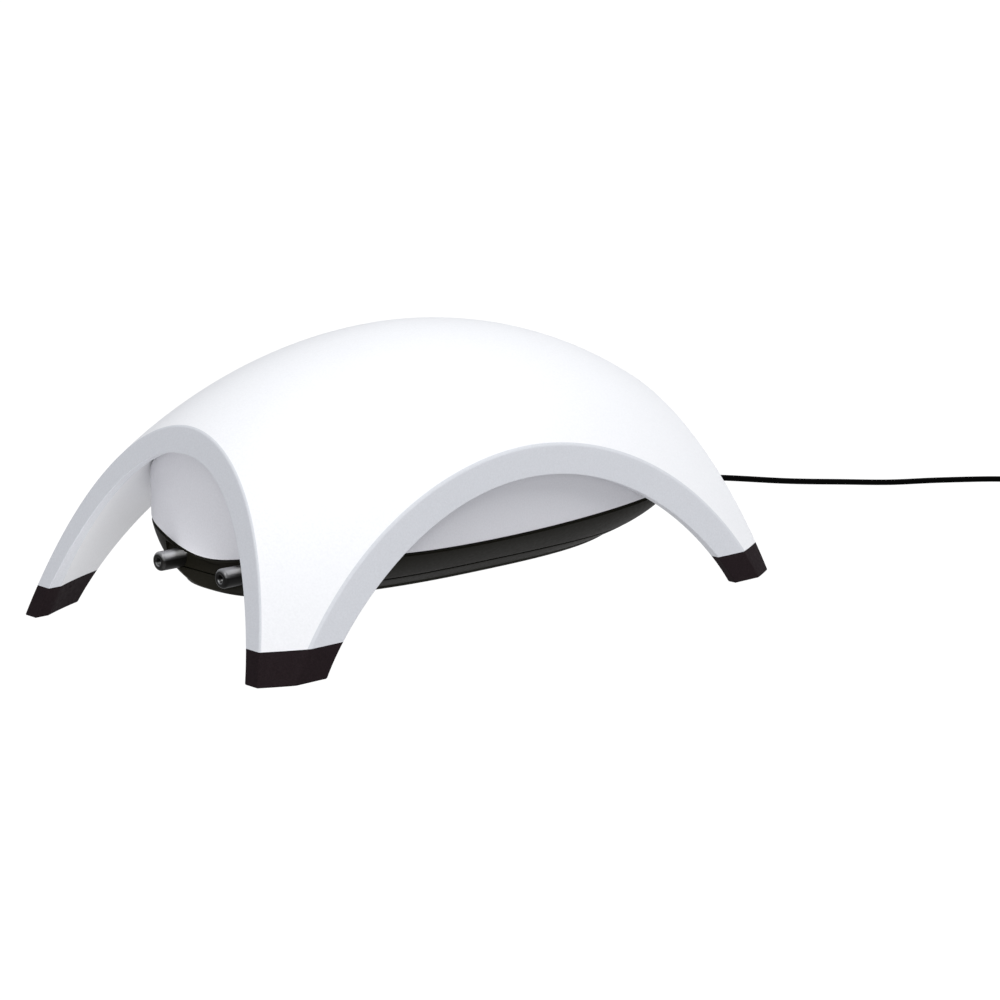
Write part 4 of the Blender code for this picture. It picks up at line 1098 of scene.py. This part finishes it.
def build_cover():
    """The dish under the parting line, with its flat keel."""
    keel_round, keel_reach = 1.2, 2.82  # height and width of the rounding round the keel
    floor, wall, slots, slot_pitch = 2.0, 3.2, 6, 7
    high = PARTING_Z - GAP
    round_top = KEEL_Z + keel_round
    outer = [hull_row(high - down, by) for by, down in PARTING_ROUND]
    outer += [hull_row(z) for z in steps_between(high - PARTING_REACH, round_top, 8)]
    for a in (math.radians(degrees) for degrees in (15, 30, 45, 60, 75, 90)):
        z = KEEL_Z + keel_round * (1 - math.sin(a))
        outer.append(lift(hull_plan(round_top, keel_reach * (1 - math.cos(a))), z))
    outer += [shrunk(outer[-1], 0.55), [(0, 0, KEEL_Z)]]

    floor_z = KEEL_Z + floor
    floor_edge = lift(hull_plan(floor_z + 1.0, 5.4), floor_z)
    inside = [[(0, 0, floor_z)], shrunk(floor_edge, 0.5), floor_edge]
    inside += [hull_row(z, wall) for z in steps_between(floor_z + 1.0, high, 5, first=0)]
    obj = add_piece("bottom_cover", two_skin_bm(outer, inside), BLACK)

    # (radius, height) of the space for a case screw's head
    head_bore = [
        (0, 5), (3.9, 5), (3.9, KEEL_Z), (3.2, KEEL_Z + 0.6), (3.2, 14.2), (0, 14.2),
    ]
    posts, cuts = [], []
    for sx, sy in CORNERS.values():
        x, y = sx * CASE_SCREW_X, sy * CASE_SCREW_Y
        posts.append(post(x, y, 4.6, 12.5, high, sides=40))
        posts.append(post(sx * 32, sy * 23, 3.4, 12.5, 18.0, sides=40))
        cuts.append(post(x, y, SCREW_HOLE, 5, 25))
        cuts.append(tool(turned_bm(head_bore, (x, y, 0))))
    for sy in (-1, 1):
        cuts.append(x_rod(OUTLET_HOLE, -82, -56, sy * OUTLET_Y, OUTLET_Z))
        cuts.append(x_rod(4.0, -64.8, -55.8, sy * OUTLET_Y, OUTLET_Z))
    cuts.append(recess_tool())
    for i in range(slots):
        cuts.append(slot_tool(slot_pitch * (i - (slots - 1) / 2)))
    combine(obj, "UNION", posts)
    combine(obj, "DIFFERENCE", cuts)
    shade_smooth(obj, 38)
    weigh_normals(obj)


# ------------------------------------------------------------------ outlets
def build_outlets():
    """Two hollow spigots that point forwards."""
    radius, bore, tip, edge = OUTLET_RADIUS, OUTLET_BORE, OUTLET_TIP, 0.95
    # (radius, distance forwards): mouth, rounded tip, shaft, flange, barbs, back to the bore
    profile = [
        (bore, tip - 0.7), (bore + 0.05, tip - 0.38), (bore + 0.16, tip - 0.16),
        (bore + 0.36, tip),
    ]
    for a in np.linspace(0, math.pi / 2, 8):
        profile.append((radius - edge + edge * math.sin(a), tip - edge * (1 - math.cos(a))))
    profile += [(radius, forward) for forward in (73.0, 71.0, 68.5, 66.0, 64.2)]
    profile += [
        (3.3, 64.2), (3.6, 64.0), (3.6, 62.8), (3.4, 62.6), (2.0, 62.6), (2.25, 61.8),
        (1.9, 60.6), (2.15, 60.0), (1.75, 58.6), (bore, 58.6),
    ]
    profile = [(r, -forward) for r, forward in profile]
    made = []
    for side, sy in (("left", -1), ("right", 1)):
        bm = turned_bm(profile, (0, sy * OUTLET_Y, OUTLET_Z), "x", sides=72)
        made.append(add_piece(f"outlet_nozzle_{side}", bm, GLOSS, sharp_angle=40))
    return made


# ------------------------------------------------------------------ cable
def smooth_path(knots, per_span):
    """A Catmull-Rom curve through the knots."""
    points = [np.array(knot, float) for knot in knots]
    points = [2 * points[0] - points[1]] + points + [2 * points[-1] - points[-2]]
    path = []
    for i in range(1, len(points) - 2):
        before, here, after, beyond = points[i - 1 : i + 3]
        for t in (j / per_span for j in range(per_span)):
            path.append(0.5 * (
                2 * here
                + (after - before) * t
                + (2 * before - 5 * here + 4 * after - beyond) * t * t
                + (3 * here - before - 3 * after + beyond) * t**3
            ))
    path.append(points[-2])
    return np.array(path)


def tube_bm(path, radius, sides=24):
    """A round wire along a path, with a frame carried along without twist."""
    tangents = unit(np.gradient(path, axis=0))
    side = unit(np.cross(tangents[0], np.array([0.0, 1.0, 0.0])))
    angles = [2 * math.pi * i / sides for i in range(sides)]
    rings = []
    for centre, tangent in zip(path, tangents):
        side = unit(side - tangent * (side @ tangent))
        up = np.cross(tangent, side)
        rings.append([
            centre + radius * (math.cos(a) * side + math.sin(a) * up) for a in angles
        ])
    return lofted_bm(rings)


def build_cable():
    bm = tube_bm(smooth_path(CABLE_KNOTS, KNOT_STEPS), CABLE_RADIUS)
    add_piece("power_cable", bm, JACKET, sharp_angle=50)


def build_strain_relief():
    """A ribbed sleeve around the cable, with a flange at its inner end."""
    bore, ribs, rib_pitch = 1.35, 3, 1.3
    # (radius, distance rearwards), from the outer end
    profile = [(bore, 4.6), (1.7, 4.75), (2.0, 4.5)]
    for i in range(ribs):
        h = 4.0 - i * rib_pitch
        r = 2.05 + 0.18 * i
        profile += [
            (r, h + 0.2), (r, h), (r - 0.35, h - 0.15), (r - 0.35, h - 0.55),
            (r + 0.1, h - 0.75),
        ]
    profile += [
        (2.7, -0.2), (2.7, -5.6), (4.1, -6.0), (4.4, -6.2), (4.4, -7.4), (4.2, -7.6),
        (bore, -7.6),
    ]
    bm = turned_bm(profile, (70.2, 0, CABLE_Z), "x")
    add_piece("strain_relief", bm, RUBBER, sharp_angle=35)


# ------------------------------------------------------------------ screws
def screw_profile(head_radius, head_height, length):
    """(radius, height) of a pan-head screw and its thread, from the head's outer face."""
    crown, pitch, root = 0.9, 0.9, SHANK * 0.82
    profile = [(0, 0.0)]
    for share in (0.3, 0.5, 0.7, 0.85, 0.95):
        profile.append((head_radius * share, crown * (1 - math.sqrt(1 - (share * 0.8) ** 2))))
    profile += [
        (head_radius, crown * 0.62), (head_radius, head_height - 0.15),
        (head_radius - 0.15, head_height), (SHANK, head_height),
    ]
    h = head_height + pitch
    while h < length - 2.2:
        profile += [(root, h), (SHANK, h + 0.32), (SHANK, h + 0.4), (root, h + 0.72)]
        h += pitch
    profile += [(SHANK * 0.8, length - 1.6), (SHANK * 0.45, length - 0.2), (0, length)]
    return profile


def build_screw(node, base, head_radius, head_height, length):
    """A cross-head screw with its head down at base and its shank upwards."""
    profile = screw_profile(head_radius, head_height, length)
    obj = add_piece(node, turned_bm(profile, base, sides=40), STEEL)
    wide, thin, deep = head_radius * 0.58, head_radius * 0.125, head_height * 0.62
    x, y, z = base
    cross = [
        tool(box_bm((x - dx, y - dy, z - 1.0), (x + dx, y + dy, z + deep)))
        for dx, dy in ((wide, thin), (thin, wide))
    ]
    combine(obj, "DIFFERENCE", cross)
    shade_smooth(obj, 30)


def build_screws():
    for corner, (sx, sy) in CORNERS.items():
        base = (sx * CASE_SCREW_X, sy * CASE_SCREW_Y, 12.2)
        build_screw(f"case_screw_{corner}", base, head_radius=2.8, head_height=1.7, length=22.0)
    for end, sx in (("front", -1), ("rear", 1)):
        base = (sx * HOUSING_SCREW_X, 0, 48.6)
        build_screw(f"housing_screw_{end}", base, head_radius=3.2, head_height=2.0, length=12.3)


# ------------------------------------------------------------------ stage
def build_floor():
    """Seen directly the paper is a lit white sweep; to other rays it glows evenly."""
    half = 14.0
    mesh = bpy.data.meshes.new("floor")
    corners = [(x * half, y * half, GROUND) for x, y in ((-1, -1), (1, -1), (1, 1), (-1, 1))]
    mesh.from_pydata(corners, [], [(0, 1, 2, 3)])
    floor = bpy.data.objects.new("floor", mesh)
    scene.collection.objects.link(floor)
    paper, tree, bsdf = new_material("pale_paper")
    set_inputs(bsdf, {
        "Base Color": (0.93, 0.93, 0.93, 1), "Roughness": 0.9, "Specular IOR Level": 0.1,
    })
    sweep = add_node(tree, "ShaderNodeEmission", {"Strength": 1.06})
    seen = add_node(tree, "ShaderNodeMixShader", {"Fac": 0.97})  # share of the sweep
    link(tree, bsdf.outputs["BSDF"], seen.inputs[1])
    link(tree, sweep.outputs["Emission"], seen.inputs[2])
    glow = add_node(tree, "ShaderNodeEmission", {
        "Color": (0.98, 0.98, 1.0, 1), "Strength": 0.64,
    })
    surface = tree.nodes["Material Output"].inputs["Surface"]
    split_by_camera(tree, glow.outputs["Emission"], seen.outputs["Shader"], surface)
    mesh.materials.append(paper)


def build_world():
    """A soft sky that the camera sees as the same lit white as the paper."""
    world = bpy.data.worlds.new("studio")
    scene.world = world
    world.use_nodes = True
    tree = world.node_tree
    sky = tree.nodes["Background"]
    set_inputs(sky, {"Color": (0.93, 0.95, 1.0, 1), "Strength": 0.45})
    backdrop = add_node(tree, "ShaderNodeBackground", {
        "Color": (1, 1, 1, 1), "Strength": 1.04,
    })
    surface = tree.nodes["World Output"].inputs["Surface"]
    split_by_camera(
        tree, sky.outputs["Background"], backdrop.outputs["Background"], surface)


def add_light(name, kind, energy, direction):
    data = bpy.data.lights.new(name, kind)
    data.energy = energy
    obj = bpy.data.objects.new(name, data)
    obj.rotation_euler = Vector(direction).to_track_quat("-Z", "Y").to_euler()
    scene.collection.objects.link(obj)
    return obj


def add_sun(name, direction, energy, angle, shadow=True):
    obj = add_light(name, "SUN", energy, direction)
    obj.data.use_shadow = shadow
    obj.data.angle = math.radians(angle)
    return obj


def add_area(name, at, aim, size, energy):
    obj = add_light(name, "AREA", energy, Vector(aim) - Vector(at))
    obj.data.shape = "RECTANGLE"
    obj.data.size, obj.data.size_y = size
    obj.location = at
    obj.visible_camera = False


def build_lights(outlets):
    add_sun("key", direction=(-0.28, 0.30, -0.91), energy=1.95, angle=60)
    add_sun("front", direction=(0.72, 0.68, -0.12), energy=0.75, angle=35)
    # Reaches only the outlets and casts no shadow: their bright upper side
    glance = add_sun(
        "glance", direction=(-0.66, 0.235, -0.705), energy=1.0, angle=20, shadow=False)
    lit = bpy.data.collections.new("outlet_sheen")
    for outlet in outlets:
        lit.objects.link(outlet)
    glance.light_linking.receiver_collection = lit
    add_area("strip", at=(-0.65, -0.28, 0.62), aim=(-0.07, 0, 0.0), size=(0.14, 0.4), energy=0.9)
    # Stands in for light thrown back under the front arch
    add_area(
        "bounce", at=(-0.083, 0.012, -0.010), aim=(-0.071, 0.042, 0.03), size=(0.03, 0.03),
        energy=0.007)


def build_camera():
    data = bpy.data.cameras.new("camera")
    data.lens = 111.11
    data.sensor_width = 36.0
    data.clip_start, data.clip_end = 0.01, 60
    camera = bpy.data.objects.new("camera", data)
    camera.location = (-0.54105, -0.62302, 0.20323 + GROUND)
    camera.rotation_euler = (math.radians(77.862), 0, math.radians(-42.740))
    scene.collection.objects.link(camera)
    scene.camera = camera


# ------------------------------------------------------------------ build
dress_cad_nodes()
build_dome()
for corner, signs in CORNERS.items():
    build_foot(corner, signs)
build_housing()
build_tray()
build_cover()
outlets = build_outlets()
build_cable()
build_strain_relief()
build_screws()

# CAD nodes that stay visible
for node in frame["nodes"].values():
    if not node.hide_render:
        shade_smooth(node, 34)

build_floor()
scene.view_settings.view_transform = "Standard"
build_world()
build_lights(outlets)
build_camera()
